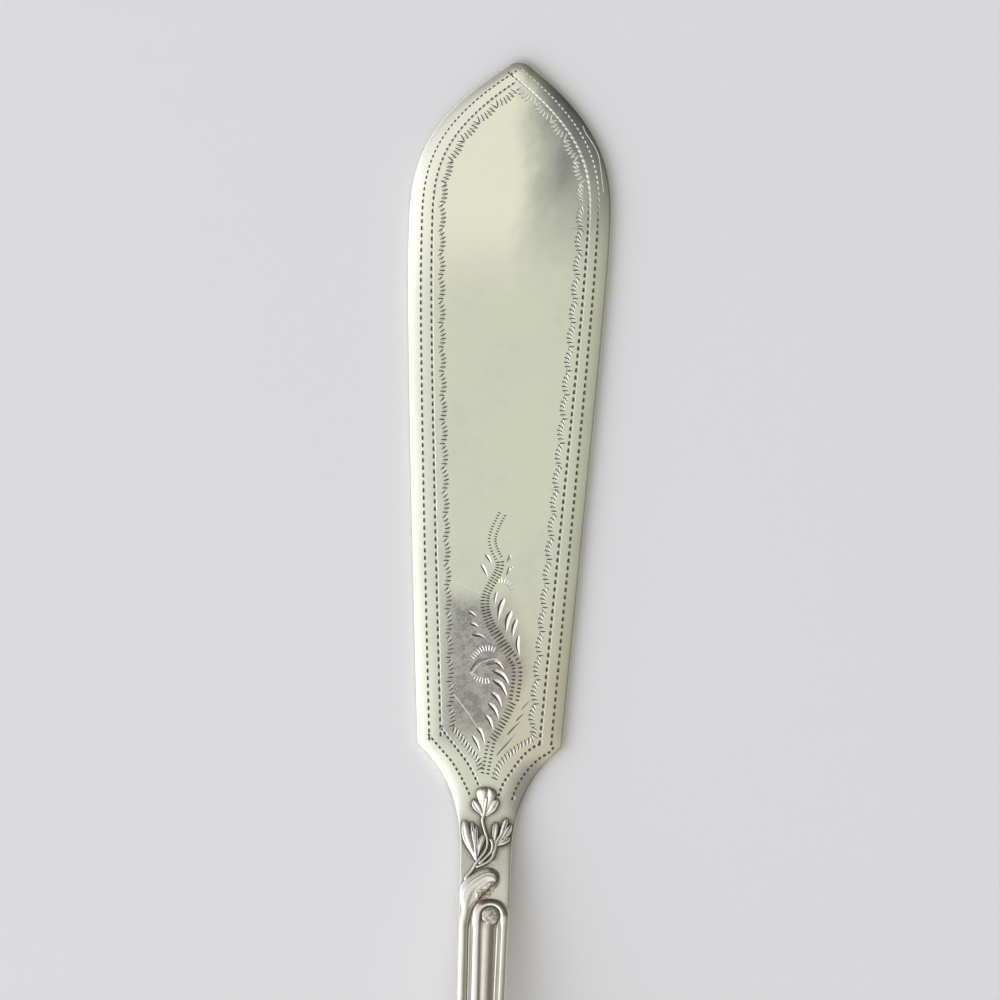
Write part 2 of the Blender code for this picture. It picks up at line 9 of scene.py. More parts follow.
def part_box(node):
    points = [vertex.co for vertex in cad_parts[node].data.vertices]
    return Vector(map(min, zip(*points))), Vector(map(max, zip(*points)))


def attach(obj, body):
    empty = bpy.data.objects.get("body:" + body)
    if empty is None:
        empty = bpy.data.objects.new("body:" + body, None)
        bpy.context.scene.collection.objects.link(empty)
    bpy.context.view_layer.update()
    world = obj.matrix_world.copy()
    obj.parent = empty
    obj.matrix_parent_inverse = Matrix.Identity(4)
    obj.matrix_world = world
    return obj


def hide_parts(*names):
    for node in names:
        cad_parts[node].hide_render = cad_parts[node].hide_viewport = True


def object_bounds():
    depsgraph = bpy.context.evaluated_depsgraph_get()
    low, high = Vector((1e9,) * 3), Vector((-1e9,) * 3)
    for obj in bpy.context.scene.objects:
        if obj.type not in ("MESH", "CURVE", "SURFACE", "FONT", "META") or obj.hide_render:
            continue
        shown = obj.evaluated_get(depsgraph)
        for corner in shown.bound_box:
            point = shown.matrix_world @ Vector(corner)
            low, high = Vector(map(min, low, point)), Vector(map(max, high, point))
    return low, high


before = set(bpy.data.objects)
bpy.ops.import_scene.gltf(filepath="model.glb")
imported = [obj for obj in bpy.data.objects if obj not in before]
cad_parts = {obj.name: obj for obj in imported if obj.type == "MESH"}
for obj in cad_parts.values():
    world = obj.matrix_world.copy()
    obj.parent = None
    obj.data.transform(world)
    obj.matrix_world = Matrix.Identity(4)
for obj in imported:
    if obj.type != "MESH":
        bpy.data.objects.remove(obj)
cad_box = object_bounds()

# Blade: a flat plate of silver-plated nickel silver with a pointed arch at the tip and concave
# shoulders, forged in one with the neck. Its upper edge is rolled off softly by long polishing.
KNIFE_LENGTH = cad_box[1].y - cad_box[0].y
BLADE_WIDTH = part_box("blade")[1].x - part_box("blade")[0].x
ARCH_LENGTH = 0.0175
BLADE_LENGTH = 0.0747
SEAM = 0.0872
WAIST = 0.112
SHOULDER_WIDTH = 0.0159
NECK_WIDTH = 0.0056
TIP_RADIUS = 0.0020
TIP_LEAN = 0.00028
TIP_LEAN_RUN = 0.010
BLADE_LEAN = 0.00037
BLADE_LEAN_RUN = 0.069
NOSE_ANGLE = math.radians(35.8)
ARCH_LEAD = 0.0106
ARCH_FALL = 0.0061
TAPER_LEAD = 0.0069
TAPER_SETTLE = 0.79
SHOULDER_ANGLE = math.radians(42)
SHOULDER_LEAD = 0.0045
SHOULDER_FALL = 0.0060
CORNER_CLEAR = 0.0016
BOW_HEIGHT = 0.006
BOW_START = 0.080
BLADE_THICK = 0.0014
NECK_THICK = 0.0026
END_THICK = 0.0018
NECK_FULL = 0.090
UNDER_ROUND = (0.0004, 0.0011)
SIDE_ROUND = (0.0003, 0.0009)
ROLL_WIDTH = (0.0030, 0.0006)
ROLL_DROP = (0.00038, 0.00007)
ROLL_TIP = 0.0015
ROLL_TIP_RUN = 0.007
ROLL_STEPS = 14
RIM_WIDTH = 0.00018
RIM_DROP = 0.00018
UNDER_STEPS = 5
FLAT_MARGIN = 1.06
FLAT_COLUMNS = (0.84, 0.5)
OUTLINE_STEPS = (8, 60, 120, 40)
MERGE = 1e-6


def mix(start, end, share):
    return start + (end - start) * share


def smooth(share):
    share = min(max(share, 0.0), 1.0)
    return share * share * (3 - 2 * share)


def bezier(start, leave, arrive, end, steps):
    """Points of one curve, without its last point."""
    return interpolate_bezier(start, leave, arrive, end, steps + 1)[:-1]


def turns(angle, steps):
    """Even turns from nothing to an angle."""
    return [angle * step / steps for step in range(steps + 1)]


def square_to(along):
    """A quarter turn from a direction: inwards, along the right edge."""
    return Vector((-along.y, along.x))


def lift(distance):
    """Height of the underside at a distance from the tip: flat under the blade, then one long bow."""
    share = max(distance - BOW_START, 0.0) / (KNIFE_LENGTH - BOW_START)
    return BOW_HEIGHT * math.sin(math.pi * min(share, 1.0)) ** 2


def thickness(distance):
    to_neck = smooth((distance - BOW_START) / (NECK_FULL - BOW_START))
    to_end = smooth((distance - WAIST) / (KNIFE_LENGTH - WAIST))
    return mix(mix(BLADE_THICK, NECK_THICK, to_neck), END_THICK, to_end)


def place(across, distance, height):
    """A place on the knife. Towards the tip the blade leans a little to the right, as it was ground."""
    lean = BLADE_LEAN * max(1 - distance / BLADE_LEAN_RUN, 0.0) ** 2
    lean += TIP_LEAN * max(1 - distance / TIP_LEAN_RUN, 0.0) ** 2
    return Vector((across + lean, KNIFE_LENGTH / 2 - distance, height))


def roll_at(distance):
    """Width and drop of the rolled upper edge."""
    share = smooth((distance - BLADE_LENGTH) / (SEAM - BLADE_LENGTH))
    full = mix(ROLL_TIP, ROLL_WIDTH[0], smooth(distance / ROLL_TIP_RUN))
    return mix(full, ROLL_WIDTH[1], share), mix(*ROLL_DROP, share)


def edge_drop(inset, roll, drop):
    """How far the rolled upper edge and its rounded rim lie below the flat at an inset."""
    rim = max(1 - inset / RIM_WIDTH, 0.0)
    return drop * max(1 - inset / roll, 0.0) ** 2 + RIM_DROP * (1 - math.sqrt(1 - rim * rim))


def rounded_section(distance):
    """Inset and height of each level of the edge, round from the underside to the flat of the face."""
    share = smooth((distance - BLADE_LENGTH) / (SEAM - BLADE_LENGTH))
    under, side = mix(*UNDER_ROUND, share), mix(*SIDE_ROUND, share)
    roll, drop = roll_at(distance)
    thick = thickness(distance)
    levels = []
    for turn in turns(math.pi / 2, UNDER_STEPS):
        levels.append((under * (1 - math.sin(turn)), side * (1 - math.cos(turn))))
    for step in range(ROLL_STEPS + 1):
        inset = roll * (step / ROLL_STEPS) ** 2
        levels.append((inset, thick - edge_drop(inset, roll, drop)))
    levels.append((roll * FLAT_MARGIN, thick))
    return levels


def blade_outline(nose_steps, arch_steps, taper_steps, shoulder_steps):
    """Right edge of the blade as (across, distance) in four stretches, from the tip to the seam."""
    nose = [
        Vector((math.sin(turn), 1 - math.cos(turn))) * TIP_RADIUS
        for turn in turns(NOSE_ANGLE, nose_steps)
    ]
    arch_start = nose.pop()
    nose_slope = Vector((math.cos(NOSE_ANGLE), math.sin(NOSE_ANGLE)))
    widest = Vector((BLADE_WIDTH / 2, ARCH_LENGTH))
    arch_lead = arch_start + nose_slope * ARCH_LEAD
    arch = bezier(arch_start, arch_lead, widest - Vector((0, ARCH_FALL)), widest, arch_steps)
    corner = Vector((SHOULDER_WIDTH / 2, BLADE_LENGTH))
    taper_lead = widest + Vector((0, TAPER_LEAD))
    taper = bezier(widest, taper_lead, corner.lerp(taper_lead, TAPER_SETTLE), corner, taper_steps)
    slope = Vector((-math.cos(SHOULDER_ANGLE), math.sin(SHOULDER_ANGLE)))
    neck = Vector((NECK_WIDTH / 2, SEAM))
    shoulder_lead = corner + slope * SHOULDER_LEAD
    shoulder = bezier(corner, shoulder_lead, neck - Vector((0, SHOULDER_FALL)), neck, shoulder_steps)
    return nose, arch, taper, shoulder + [neck]


def draw_in(edge, inset_at):
    """The edge moved inwards, square to itself, by an inset that may change along it."""
    moved = []
    for index, point in enumerate(edge):
        before = edge[index - 1] if index else Vector((-edge[1].x, edge[1].y))
        after = edge[index + 1] if index + 1 < len(edge) else Vector((-edge[-2].x, edge[-2].y))
        if index == 0 and point.x > 0:
            before = point - Vector((0, 1))
        if index + 1 == len(edge) and point.x > 0:
            after = point + Vector((0, 1))
        into = (point - before).normalized()
        out = (after - point).normalized()
        along = (into + out).normalized()
        spot = point + square_to(along) * (inset_at(point.y) / along.dot(out))
        moved.append(Vector((max(spot.x, 0.0), spot.y)))
    return moved


def loft(name, rings):
    """A closed skin over rings of points: a grid whose points are moved, its seam and ends closed."""
    bpy.ops.object.select_all(action="DESELECT")
    bpy.ops.mesh.primitive_grid_add(x_subdivisions=len(rings[0]), y_subdivisions=len(rings) - 1, size=1)
    piece = bpy.context.object
    piece.name = name
    spots = [spot for ring in rings for spot in ring + ring[:1]]
    piece.data.vertices.foreach_set("co", [number for spot in spots for number in spot])
    bpy.ops.object.mode_set(mode="EDIT")
    bpy.ops.mesh.select_all(action="SELECT")
    bpy.ops.mesh.remove_doubles(threshold=MERGE)
    bpy.ops.mesh.dissolve_degenerate(threshold=MERGE)
    bpy.ops.mesh.select_all(action="SELECT")
    bpy.ops.mesh.fill_holes(sides=0)
    bpy.ops.mesh.select_all(action="SELECT")
    bpy.ops.mesh.normals_make_consistent(inside=False)
    bpy.ops.object.mode_set(mode="OBJECT")
    return piece


def plate(name, edge):
    """A solid with the same outline on both sides of the axis and the rounded section all along."""
    levels = []
    for level in range(len(rounded_section(edge[0].y))):
        drawn = draw_in(edge, lambda distance: rounded_section(distance)[level][0])
        heights = [lift(point.y) + rounded_section(point.y)[level][1] for point in edge]
        levels.append(list(zip(drawn, heights)))
    rings = []
    for station in range(len(edge)):
        section = [level[station] for level in levels]
        flat, top = section[-1]
        section += [(Vector((flat.x * share, flat.y)), top) for share in FLAT_COLUMNS]
        right = [place(spot.x, spot.y, height) for spot, height in section]
        left = [place(-spot.x, spot.y, height) for spot, height in reversed(section)]
        rings.append(right + left)
    return loft(name, rings)


nose, arch, taper, shoulder = blade_outline(*OUTLINE_STEPS)
corner = shoulder[0]
clear_edge = [point for point in taper + shoulder[1:] if (point - corner).length > CORNER_CLEAR]
below = [point for point in clear_edge if point.y > corner.y]
blade = plate("engraved_blade", nose + arch + clear_edge[: -len(below)] + [corner] + below)

# Engraving on the blade: rows of punched pits with bright rims, a scalloped band wriggled with a flat
# graver and a scroll of bright cuts at the base. Every mark is a real V-shaped cut in the plate.
SIDES = {"left": -1, "right": 1}
FINE_STEPS = (8, 96, 240, 60)
LINE_FULL = 0.020
RIM_STROKE = 0.00026
RIM_LENGTH = 0.98
RIM_DEPTH_SHARE = 0.16
RIM_SKEW = 3.2
RIM_SHIFT = Vector((0.00007, 0))
# Two rows on each side: inset at the tip, at the full width and at the base, run past the axis at the
# tip, distance of the lower end, strength of the raised rim beside each pit, then the row along the
# shoulder (across, distance)
ROWS = {
    "left": [
        ((0.00108, 0.00148, 0.00140), 0.0003, 0.0747, 0.7, [
            (-0.00678, 0.07363), (-0.00567, 0.07483), (-0.00404, 0.07661), (-0.00276, 0.07858),
            (-0.00199, 0.08009),
        ]),
        ((0.00208, 0.00262, 0.00266), -0.0003, 0.0742, 1.0, [
            (-0.00538, 0.07287), (-0.00464, 0.07385), (-0.00334, 0.0754), (-0.00216, 0.0769),
            (-0.00103, 0.07899),
        ]),
    ],
    "right": [
        ((0.00096, 0.00146, 0.00122), 0.0002, 0.0748, 0.8, [
            (0.00705, 0.07462), (0.00642, 0.07535), (0.00561, 0.07585), (0.00464, 0.07678),
            (0.00373, 0.07805), (0.00307, 0.07932), (0.00259, 0.08075),
        ]),
        ((0.00204, 0.00250, 0.00248), 0.0012, 0.0744, 1.0, [
            (0.00561, 0.07432), (0.00474, 0.07476), (0.0036, 0.07587), (0.00247, 0.0775),
            (0.00169, 0.07877), (0.0012, 0.08009),
        ]),
    ],
}
PIT_PITCH = {"tip": 0.00056, "left": 0.00082, "right": 0.00080, "shoulder": 0.00060}
PIT_LENGTH = 0.60
PIT_WIDTH = {"tip": 0.00022, "left": 0.00031, "right": 0.00036}
PIT_DEPTH_SHARE = 0.75
PIT_TIP_END = 0.008
PIT_TIP_EASE = 0.014
ROW_START = 0.0002
# Marks as places along them and half widths, in shares of their length and width: a pit is narrower
# towards the tip and blunt towards the handle, a stroke thin at its start and deepest near its end
PIT_SHAPE = [(-0.5, 0.26), (-0.2, 0.46), (0.25, 0.5), (0.5, 0.38)]
RIM_SHAPE = [(-0.5, 0.2), (0.0, 0.5), (0.5, 0.3)]
STROKE_SHAPE = [(0.0, 0.22), (0.7, 0.5), (1.0, 0.36)]
# The wriggled band: inset of its cusps at the tip, the full width and the base, swell of a scallop,
# slant of the strokes at the tip, and the band's way along the shoulder
BANDS = {
    "left": ((0.00275, 0.00350, 0.00368), 0.00034, 0.0, [
        (-0.00420, 0.07283), (-0.00334, 0.07375), (-0.00223, 0.07513), (-0.00124, 0.07627),
        (-0.00090, 0.07745),
    ]),
    "right": ((0.00245, 0.00315, 0.00330), 0.00044, 0.15, [
        (0.00480, 0.07298), (0.00482, 0.07369), (0.00378, 0.07438), (0.00286, 0.0750),
        (0.00149, 0.07636), (0.00082, 0.07774), (0.00074, 0.07869),
    ]),
}
BAND_SHORT = 0.0002
BAND_TIP_END = 0.006
BAND_TIP_EASE = 0.012
BAND_END = 0.0718
BAND_SETTLE = 0.002
BAND_PITCH = 0.00044
BAND_SCALLOP = 0.0026
BAND_STROKE = (0.00082, 0.00064, 0.00082)
BAND_SLANT = -0.35
BAND_BACK = 0.8
BAND_BACK_SHARE = 0.4
TICK_WIDTH = 0.00016
TICK_DEPTH_SHARE = 0.9
CUT_DEPTH_SHARE = 0.42
CUT_SKEW = -0.5
CUT_STEPS = 6
CUT_FULLEST = 0.72
CUT_THIN = 0.10

# The scroll's lines, in metres across from the axis and from the tip
SCROLL_STEM = [
    (0.00045, 0.04945), (-0.00016, 0.05077), (-0.00051, 0.05197), (-0.00044, 0.0528),
    (-0.00005, 0.05373), (0.00042, 0.05466), (0.00030, 0.05561), (-0.00022, 0.05669),
    (-0.00074, 0.05766), (-0.00104, 0.05862), (-0.00100, 0.0598), (-0.00062, 0.06097),
    (0.00003, 0.06213), (0.00078, 0.06320), (0.00150, 0.06423), (0.00222, 0.06515), (0.00264, 0.06596),
    (0.00272, 0.06691), (0.00268, 0.06785), (0.00257, 0.06868), (0.00243, 0.06975), (0.00211, 0.07047),
    (0.00167, 0.07156), (0.00117, 0.07252), (0.00067, 0.07348), (0.00023, 0.07421), (0.00002, 0.07505),
    (-0.00013, 0.0760), (-0.00027, 0.07695), (-0.00041, 0.07802),
]
# Strokes across the stem, stretch by stretch: end of the stretch, pitch, rows, length, width and finish
STEM_STROKES = [
    (0.0545, 0.00032, (-0.00034, 0.00034), 0.00030, 0.00015, "grey"),
    (0.0585, 0.00033, (-0.00024, 0.00026), 0.00046, 0.00016, "grey"),
    (0.0622, 0.00034, (-0.00026, 0.00028), 0.00050, 0.00017, "grey"),
    (0.0650, 0.00040, (0.0,), 0.00120, 0.00018, "grey"),
    (0.0700, 0.00043, (-0.00037, 0.00037), 0.00046, 0.00021, "dark"),
    (0.0742, 0.00040, (0.0,), 0.00092, 0.00018, "grey"),
    (0.0790, 0.00042, (-0.00030, 0.00030), 0.00038, 0.00019, "grey"),
]
SCROLL_CUTS = [
    (0.00038, [(-0.00126, 0.05382), (-0.00080, 0.05430), (-0.00048, 0.05496)]),
    (0.00038, [(-0.00165, 0.05490), (-0.00120, 0.05560), (-0.00087, 0.05634)]),
    (0.00032, [(0.00157, 0.05382), (0.00142, 0.05420), (0.00117, 0.05471)]),
    (0.00032, [(0.00157, 0.05507), (0.00140, 0.05560), (0.00112, 0.05612)]),
    (0.00021, [(0.00157, 0.05507), (0.00178, 0.05520), (0.00198, 0.05541)]),
    (0.00032, [(0.00024, 0.05785), (0.00006, 0.05860), (0.00002, 0.05939)]),
    (0.00060, [(0.00103, 0.05859), (0.00062, 0.05970), (0.00046, 0.06101)]),
    (0.00062, [(0.00189, 0.05994), (0.00148, 0.06100), (0.00138, 0.06229)]),
    (0.00052, [(0.00251, 0.06081), (0.00218, 0.06180), (0.00209, 0.06286)]),
    (0.00046, [(0.00276, 0.06260), (0.00268, 0.06370), (0.00293, 0.06479)]),
    (0.00039, [(-0.00284, 0.06014), (-0.00240, 0.06035), (-0.00195, 0.06066)]),
    (0.00044, [(-0.00261, 0.06143), (-0.00215, 0.06155), (-0.00166, 0.06182)]),
    (0.00044, [(-0.00236, 0.06268), (-0.00160, 0.06270), (-0.00079, 0.06304)]),
    (0.00046, [(-0.00236, 0.06672), (-0.00140, 0.06556), (0.00010, 0.06506)]),
    (0.00050, [(-0.00068, 0.06590), (0.00046, 0.06560), (0.00131, 0.06642)]),
    (0.00056, [(0.00002, 0.06646), (0.00120, 0.06700), (0.00190, 0.06805)]),
    (0.00058, [(0.00006, 0.06750), (0.00106, 0.06808), (0.00174, 0.06933)]),
    (0.00050, [(-0.00006, 0.06887), (0.00070, 0.06946), (0.00120, 0.07048)]),
    (0.00050, [(-0.00033, 0.07002), (0.00042, 0.07073), (0.00090, 0.07180)]),
    (0.00046, [(-0.00059, 0.07138), (-0.00004, 0.07200), (0.00037, 0.07313)]),
    (0.00046, [(-0.00148, 0.07278), (-0.00096, 0.07329), (-0.00049, 0.07469)]),
    (0.00042, [(-0.00197, 0.07363), (-0.00138, 0.07445), (-0.00101, 0.07547)]),
]
LONG_CUTS = [
    (0.00016, [(0.00332, 0.07073), (0.00385, 0.07010), (0.00431, 0.06961)]),
    (0.00022, [(0.00281, 0.07195), (0.00330, 0.07145), (0.00376, 0.07099)]),
    (0.00028, [(0.00189, 0.07351), (0.00262, 0.07270), (0.00336, 0.07193)]),
    (0.00024, [(0.00077, 0.07584), (0.00182, 0.07460), (0.00282, 0.07337)]),
]
FRINGES = [
    [(-0.00222, 0.06518), (-0.00166, 0.06451), (-0.00096, 0.06413), (-0.00025, 0.06411),
     (0.00035, 0.06438)],
    [(-0.00228, 0.06684), (-0.00191, 0.0673), (-0.00131, 0.06758), (-0.00072, 0.06768),
     (-0.00025, 0.0676)],
    [(0.00035, 0.05667), (0.00100, 0.05671), (0.00161, 0.05716), (0.00193, 0.0578)],
]
FRINGE_PITCH = 0.00031
FRINGE_STROKE = 0.00062
FRINGE_WIDTH = 0.00018
FRINGE_DEPTH_SHARE = 0.5
SLIPS = [
    [(0.00745, 0.00678), (0.00780, 0.00752), (0.00847, 0.00843), (0.00899, 0.00922), (0.00933, 0.00996),
     (0.00950, 0.01066), (0.00966, 0.01159), (0.00985, 0.01258), (0.01006, 0.01397)],
    [(-0.00409, 0.06927), (-0.00297, 0.07065), (-0.0021, 0.07181), (-0.00099, 0.07331)],
    [(-0.0042, 0.05713), (-0.00311, 0.05762), (-0.00155, 0.05816)],
    [(-0.00228, 0.06700), (-0.00138, 0.06582), (-0.00012, 0.06530), (0.00060, 0.06538)],
]
SLIP_WIDTH = 0.00011
SLIP_STEPS = 4


def path_length(path):
    return sum((after - before).length for before, after in zip(path, path[1:]))


def even(pitch):
    return lambda distance: pitch


def walk(path, pitch_at, start=0.0):
    """Places along a path, each with its direction and its run, at a pitch set by the distance."""
    run = start
    passed = 0.0
    places = []
    for before, after in zip(path, path[1:]):
        step = (after - before).length
        while run <= passed + step:
            spot = before.lerp(after, (run - passed) / step)
            places.append((spot, (after - before) / step, run))
            run += pitch_at(spot.y)
        passed += step
    return places


def flowing(points, steps=8):
    """A smooth path through points."""
    points = [Vector(point) for point in points]
    path = []
    for index in range(len(points) - 1):
        before = points[max(index - 1, 0)]
        after = points[min(index + 2, len(points) - 1)]
        start, end = points[index], points[index + 1]
        path += bezier(start, start + (end - before) / 6, end - (after - start) / 6, end, steps)
    return path + [points[-1]]


def border_line(side, insets, overrun, end):
    """A line beside the edge of one side, from past the axis at the tip to a distance near the base."""
    tip, full, base = insets
    edge = arch + taper + shoulder[:1]
    line = []
    for before, point, after in zip(edge, edge[1:], edge[2:]):
        along = (after - before).normalized()
        to_base = max(point.y - LINE_FULL, 0.0) / (BLADE_LENGTH - LINE_FULL)
        inset = mix(mix(tip, full, smooth(point.y / LINE_FULL)), base, to_base)
        spot = point + square_to(along) * inset
        if spot.x > -overrun and spot.y < end:
            line.append(spot)
    first = (line[1] - line[0]).normalized()
    last = (line[-1] - line[-2]).normalized()
    line.insert(0, line[0] - first * ((line[0].x + overrun) / first.x))
    line.append(line[-1] + last * ((end - line[-1].y) / last.y))
    return [Vector((spot.x * SIDES[side], spot.y)) for spot in line]


fine_edge = [point for stretch in blade_outline(*FINE_STEPS) for point in stretch]
edge_tree = KDTree(len(fine_edge))
for index, point in enumerate(fine_edge):
    edge_tree.insert((point.x, point.y, 0.0), index)
edge_tree.balance()


def face_drop(across, distance):
    """How far the rolled edge lies below the flat of the blade at a place."""
    near, index, inset = edge_tree.find((abs(across), distance, 0.0))
    return edge_drop(inset, *roll_at(near.y))


def pick(*pieces):
    """Select these pieces alone, the first of them active."""
    bpy.ops.object.select_all(action="DESELECT")
    for piece in pieces:
        piece.select_set(True)
    bpy.context.view_layer.objects.active = pieces[0]


def graver(name, strokes, depth_share, skew=0.0):
    """One cutter of V-shaped strokes, each a list of a place and the stroke's half width there. A skew
    moves the bottom of the V to the right."""
    outline = bpy.data.curves.new(name, "CURVE")
    outline.dimensions = "3D"
    outline.twist_mode = "Z_UP"
    outline.fill_mode = "FULL"
    outline.bevel_depth = 1.0
    outline.bevel_resolution = 0
    outline.use_fill_caps = True
    for stroke in strokes:
        spline = outline.splines.new("POLY")
        spline.points.add(len(stroke) - 1)
        for point, (spot, half_width) in zip(spline.points, stroke):
            point.co = (*place(spot[0], spot[1], -face_drop(spot[0], spot[1]) / depth_share), 1)
            point.radius = half_width
    cutter = bpy.data.objects.new(name, outline)
    bpy.context.collection.objects.link(cutter)
    pick(cutter)
    bpy.ops.object.convert(target="MESH")
    tilt = Matrix.Shear("XY", 4, (-skew, 0.0))
    cutter.data.transform(
        Matrix.Translation((0, 0, BLADE_THICK)) @ tilt @ Matrix.Diagonal((1, 1, depth_share, 1))
    )
    bpy.ops.object.mode_set(mode="EDIT")
    bpy.ops.mesh.select_all(action="SELECT")
    bpy.ops.mesh.remove_doubles(threshold=MERGE)
    bpy.ops.mesh.normals_make_consistent(inside=False)
    bpy.ops.object.mode_set(mode="OBJECT")
    return cutter


def engrave(piece, cutter, material, left_wall=None):
    """Cut strokes into a piece. The left wall of each may take a darker material of its own: painted
    shade on the wall that faces away from the light.
    """
    cutter.data.materials.clear()
    cutter.data.materials.append(material)
    if left_wall:
        cutter.data.materials.append(left_wall)
        for polygon in cutter.data.polygons:
            polygon.material_index = int(polygon.normal.x < 0)
    cut = piece.modifiers.new(cutter.name, "BOOLEAN")
    cut.operation = "DIFFERENCE"
    cut.solver = "MANIFOLD"
    cut.material_mode = "TRANSFER"
    cut.object = cutter
    pick(piece)
    bpy.ops.object.modifier_apply(modifier=cut.name)
    bpy.data.objects.remove(cutter)


def engrave_in_turns(name, strokes, depth_share, material, left_wall=None, skew=0.0):
    """Engrave the blade with every second stroke, then with those between, so that no cutter overlaps
    itself."""
    for part, chosen in ((name, strokes[::2]), (f"{name}_between", strokes[1::2])):
        engrave(blade, graver(part, chosen, depth_share, skew), material, left_wall)


def mark(shape, spot, along, length, width):
    """A short straight mark."""
    return [(spot + along * length * reach, width * half_width) for reach, half_width in shape]


def stroke(start, end, width):
    """One push of the graver."""
    return [(start.lerp(end, reach), width * half_width) for reach, half_width in STROKE_SHAPE]


def cut_shape(width, points):
    """A flowing cut, fullest before its middle and drawn out at its end."""
    path = flowing(points, CUT_STEPS)
    last = len(path) - 1
    return [
        (spot, width / 2 * max(math.sin(math.pi * (index / last) ** CUT_FULLEST), CUT_THIN))
        for index, spot in enumerate(path)
    ]


def past_tip(sizes, side):
    """A size that grows with the distance from the tip's own to that of a side."""

    def size_at(distance):
        return mix(sizes["tip"], sizes[side], smooth((distance - PIT_TIP_END) / PIT_TIP_EASE))

    return size_at


rims = []
pits = []
for side in SIDES:
    side_pitch, width_at = past_tip(PIT_PITCH, side), past_tip(PIT_WIDTH, side)
    for insets, overrun, end, strength, shoulder_row in ROWS[side]:
        border = border_line(side, insets, overrun, end)
        diagonal = flowing(shoulder_row)
        for path, pitch_at in ((border, side_pitch), (diagonal, even(PIT_PITCH["shoulder"]))):
            for spot, along, run in walk(path, pitch_at, ROW_START):
                pitch = pitch_at(spot.y)
                pits.append(mark(PIT_SHAPE, spot, along, pitch * PIT_LENGTH, width_at(spot.y)))
                beside = spot + RIM_SHIFT
                rims.append(mark(RIM_SHAPE, beside, along, pitch * RIM_LENGTH, RIM_STROKE * strength))

forth = []
back = []
for side, sign in SIDES.items():
    insets, swell, tip_slant, shoulder_band = BANDS[side]
    path = border_line(side, insets, -BAND_SHORT, BAND_END) + flowing(shoulder_band)
    ends = []
    for spot, along, run in walk(path, even(BAND_PITCH), BAND_PITCH / 2):
        at_tip = 1 - smooth((spot.y - BAND_TIP_END) / BAND_TIP_EASE)
        at_base = smooth((spot.y - BAND_END) / BAND_SETTLE)
        inwards = square_to(along) * sign
        phase = math.pi * (run / BAND_SCALLOP % 1.0)
        slope = swell * math.pi / BAND_SCALLOP * math.cos(phase) * (1 - at_base)
        slant = mix(BAND_SLANT, tip_slant, at_tip)
        across = (inwards + along * (slant - slope)).normalized()
        middle = spot + inwards * swell * math.sin(phase) * (1 - at_base)
        length = mix(mix(BAND_STROKE[1], BAND_STROKE[0], at_tip), BAND_STROKE[2], at_base)
        ends.append((middle - across * length / 2, middle + across * length / 2))
    forth += [stroke(outer, inner, TICK_WIDTH) for outer, inner in ends]
    back += [
        stroke(outer, inner, TICK_WIDTH * BAND_BACK)
        for (before, inner), (outer, after) in zip(ends, ends[1:])
    ]

fine_strokes = {"dark": [], "grey": [], "bright": []}
reached = 0.0
for end, pitch, rows, length, width, finish in STEM_STROKES:
    for spot, along, run in walk(flowing(SCROLL_STEM), even(pitch)):
        if reached < spot.y <= end:
            across = square_to(along)
            for row in rows:
                middle = spot + across * row
                reach = across * length / 2
                fine_strokes[finish].append(stroke(middle + reach, middle - reach, width))
    reached = end
for points in FRINGES:
    for spot, along, run in walk(flowing(points), even(FRINGE_PITCH)):
        reach = square_to(along) * FRINGE_STROKE / 2
        fine_strokes["bright"].append(stroke(spot - reach, spot + reach, FRINGE_WIDTH))
slips = [[(spot, SLIP_WIDTH / 2) for spot in flowing(points, SLIP_STEPS)] for points in SLIPS]


class Tone:
    """One value in a material. Sums and products of tones add the nodes that work them out."""

    def __init__(self, tree, socket=None):
        self.tree = tree
        self.socket = socket

    def node(self, kind, settings=None, sockets=None, output=0):
        """Any node: its settings are set first, then the values or links of its sockets."""
        made = self.tree.nodes.new(kind)
        for name, value in (settings or {}).items():
            setattr(made, name, value)
        for key, value in (sockets or {}).items():
            if isinstance(value, Tone):
                self.tree.links.new(value.socket, made.inputs[key])
            else:
                made.inputs[key].default_value = value
        return Tone(self.tree, made.outputs[output])

    def math(self, operation, first, second):
        return self.node("ShaderNodeMath", {"operation": operation}, {0: first, 1: second})

    def __add__(self, other):
        return self.math("ADD", self, other)

    def __sub__(self, other):
        return self.math("SUBTRACT", self, other)

    def __rsub__(self, other):
        return self.math("SUBTRACT", other, self)

    def __mul__(self, other):
        return self.math("MULTIPLY", self, other)

    __radd__ = __add__
    __rmul__ = __mul__


def ramp(tone, low, high):
    """0 below low, 1 above high, eased between."""
    return tone.node(
        "ShaderNodeMapRange", {"interpolation_type": "SMOOTHSTEP"},
        {"Value": tone, "From Min": low, "From Max": high},
    )


def tint(first, second, share):
    """A colour between two colours."""
    return share.node("ShaderNodeMix", {"data_type": "RGBA"}, {0: share, 6: first, 7: second}, 2)


MILLI = 1000
SCRATCH_EASE = 0.05


def millimetres(tree, turn=0.0, stretch=(1, 1, 1)):
    """The place on the piece in millimetres, turned in the plane of the blade and stretched."""
    base = Tone(tree)
    spot = base.node("ShaderNodeTexCoord", output=3)
    scale = [1 / (MILLI * number) for number in stretch]
    sockets = {"Vector": spot, "Rotation": (0, 0, turn), "Scale": scale}
    return base.node("ShaderNodeMapping", {"vector_type": "TEXTURE"}, sockets)


def clouds(spot, scale, detail=3.0, roughness=0.55):
    sockets = {"Vector": spot, "Scale": scale, "Detail": detail, "Roughness": roughness}
    return spot.node("ShaderNodeTexNoise", None, sockets)


def sway(tone, amount):
    """A tone's swing to either side of its middle."""
    return (tone - 0.5) * amount


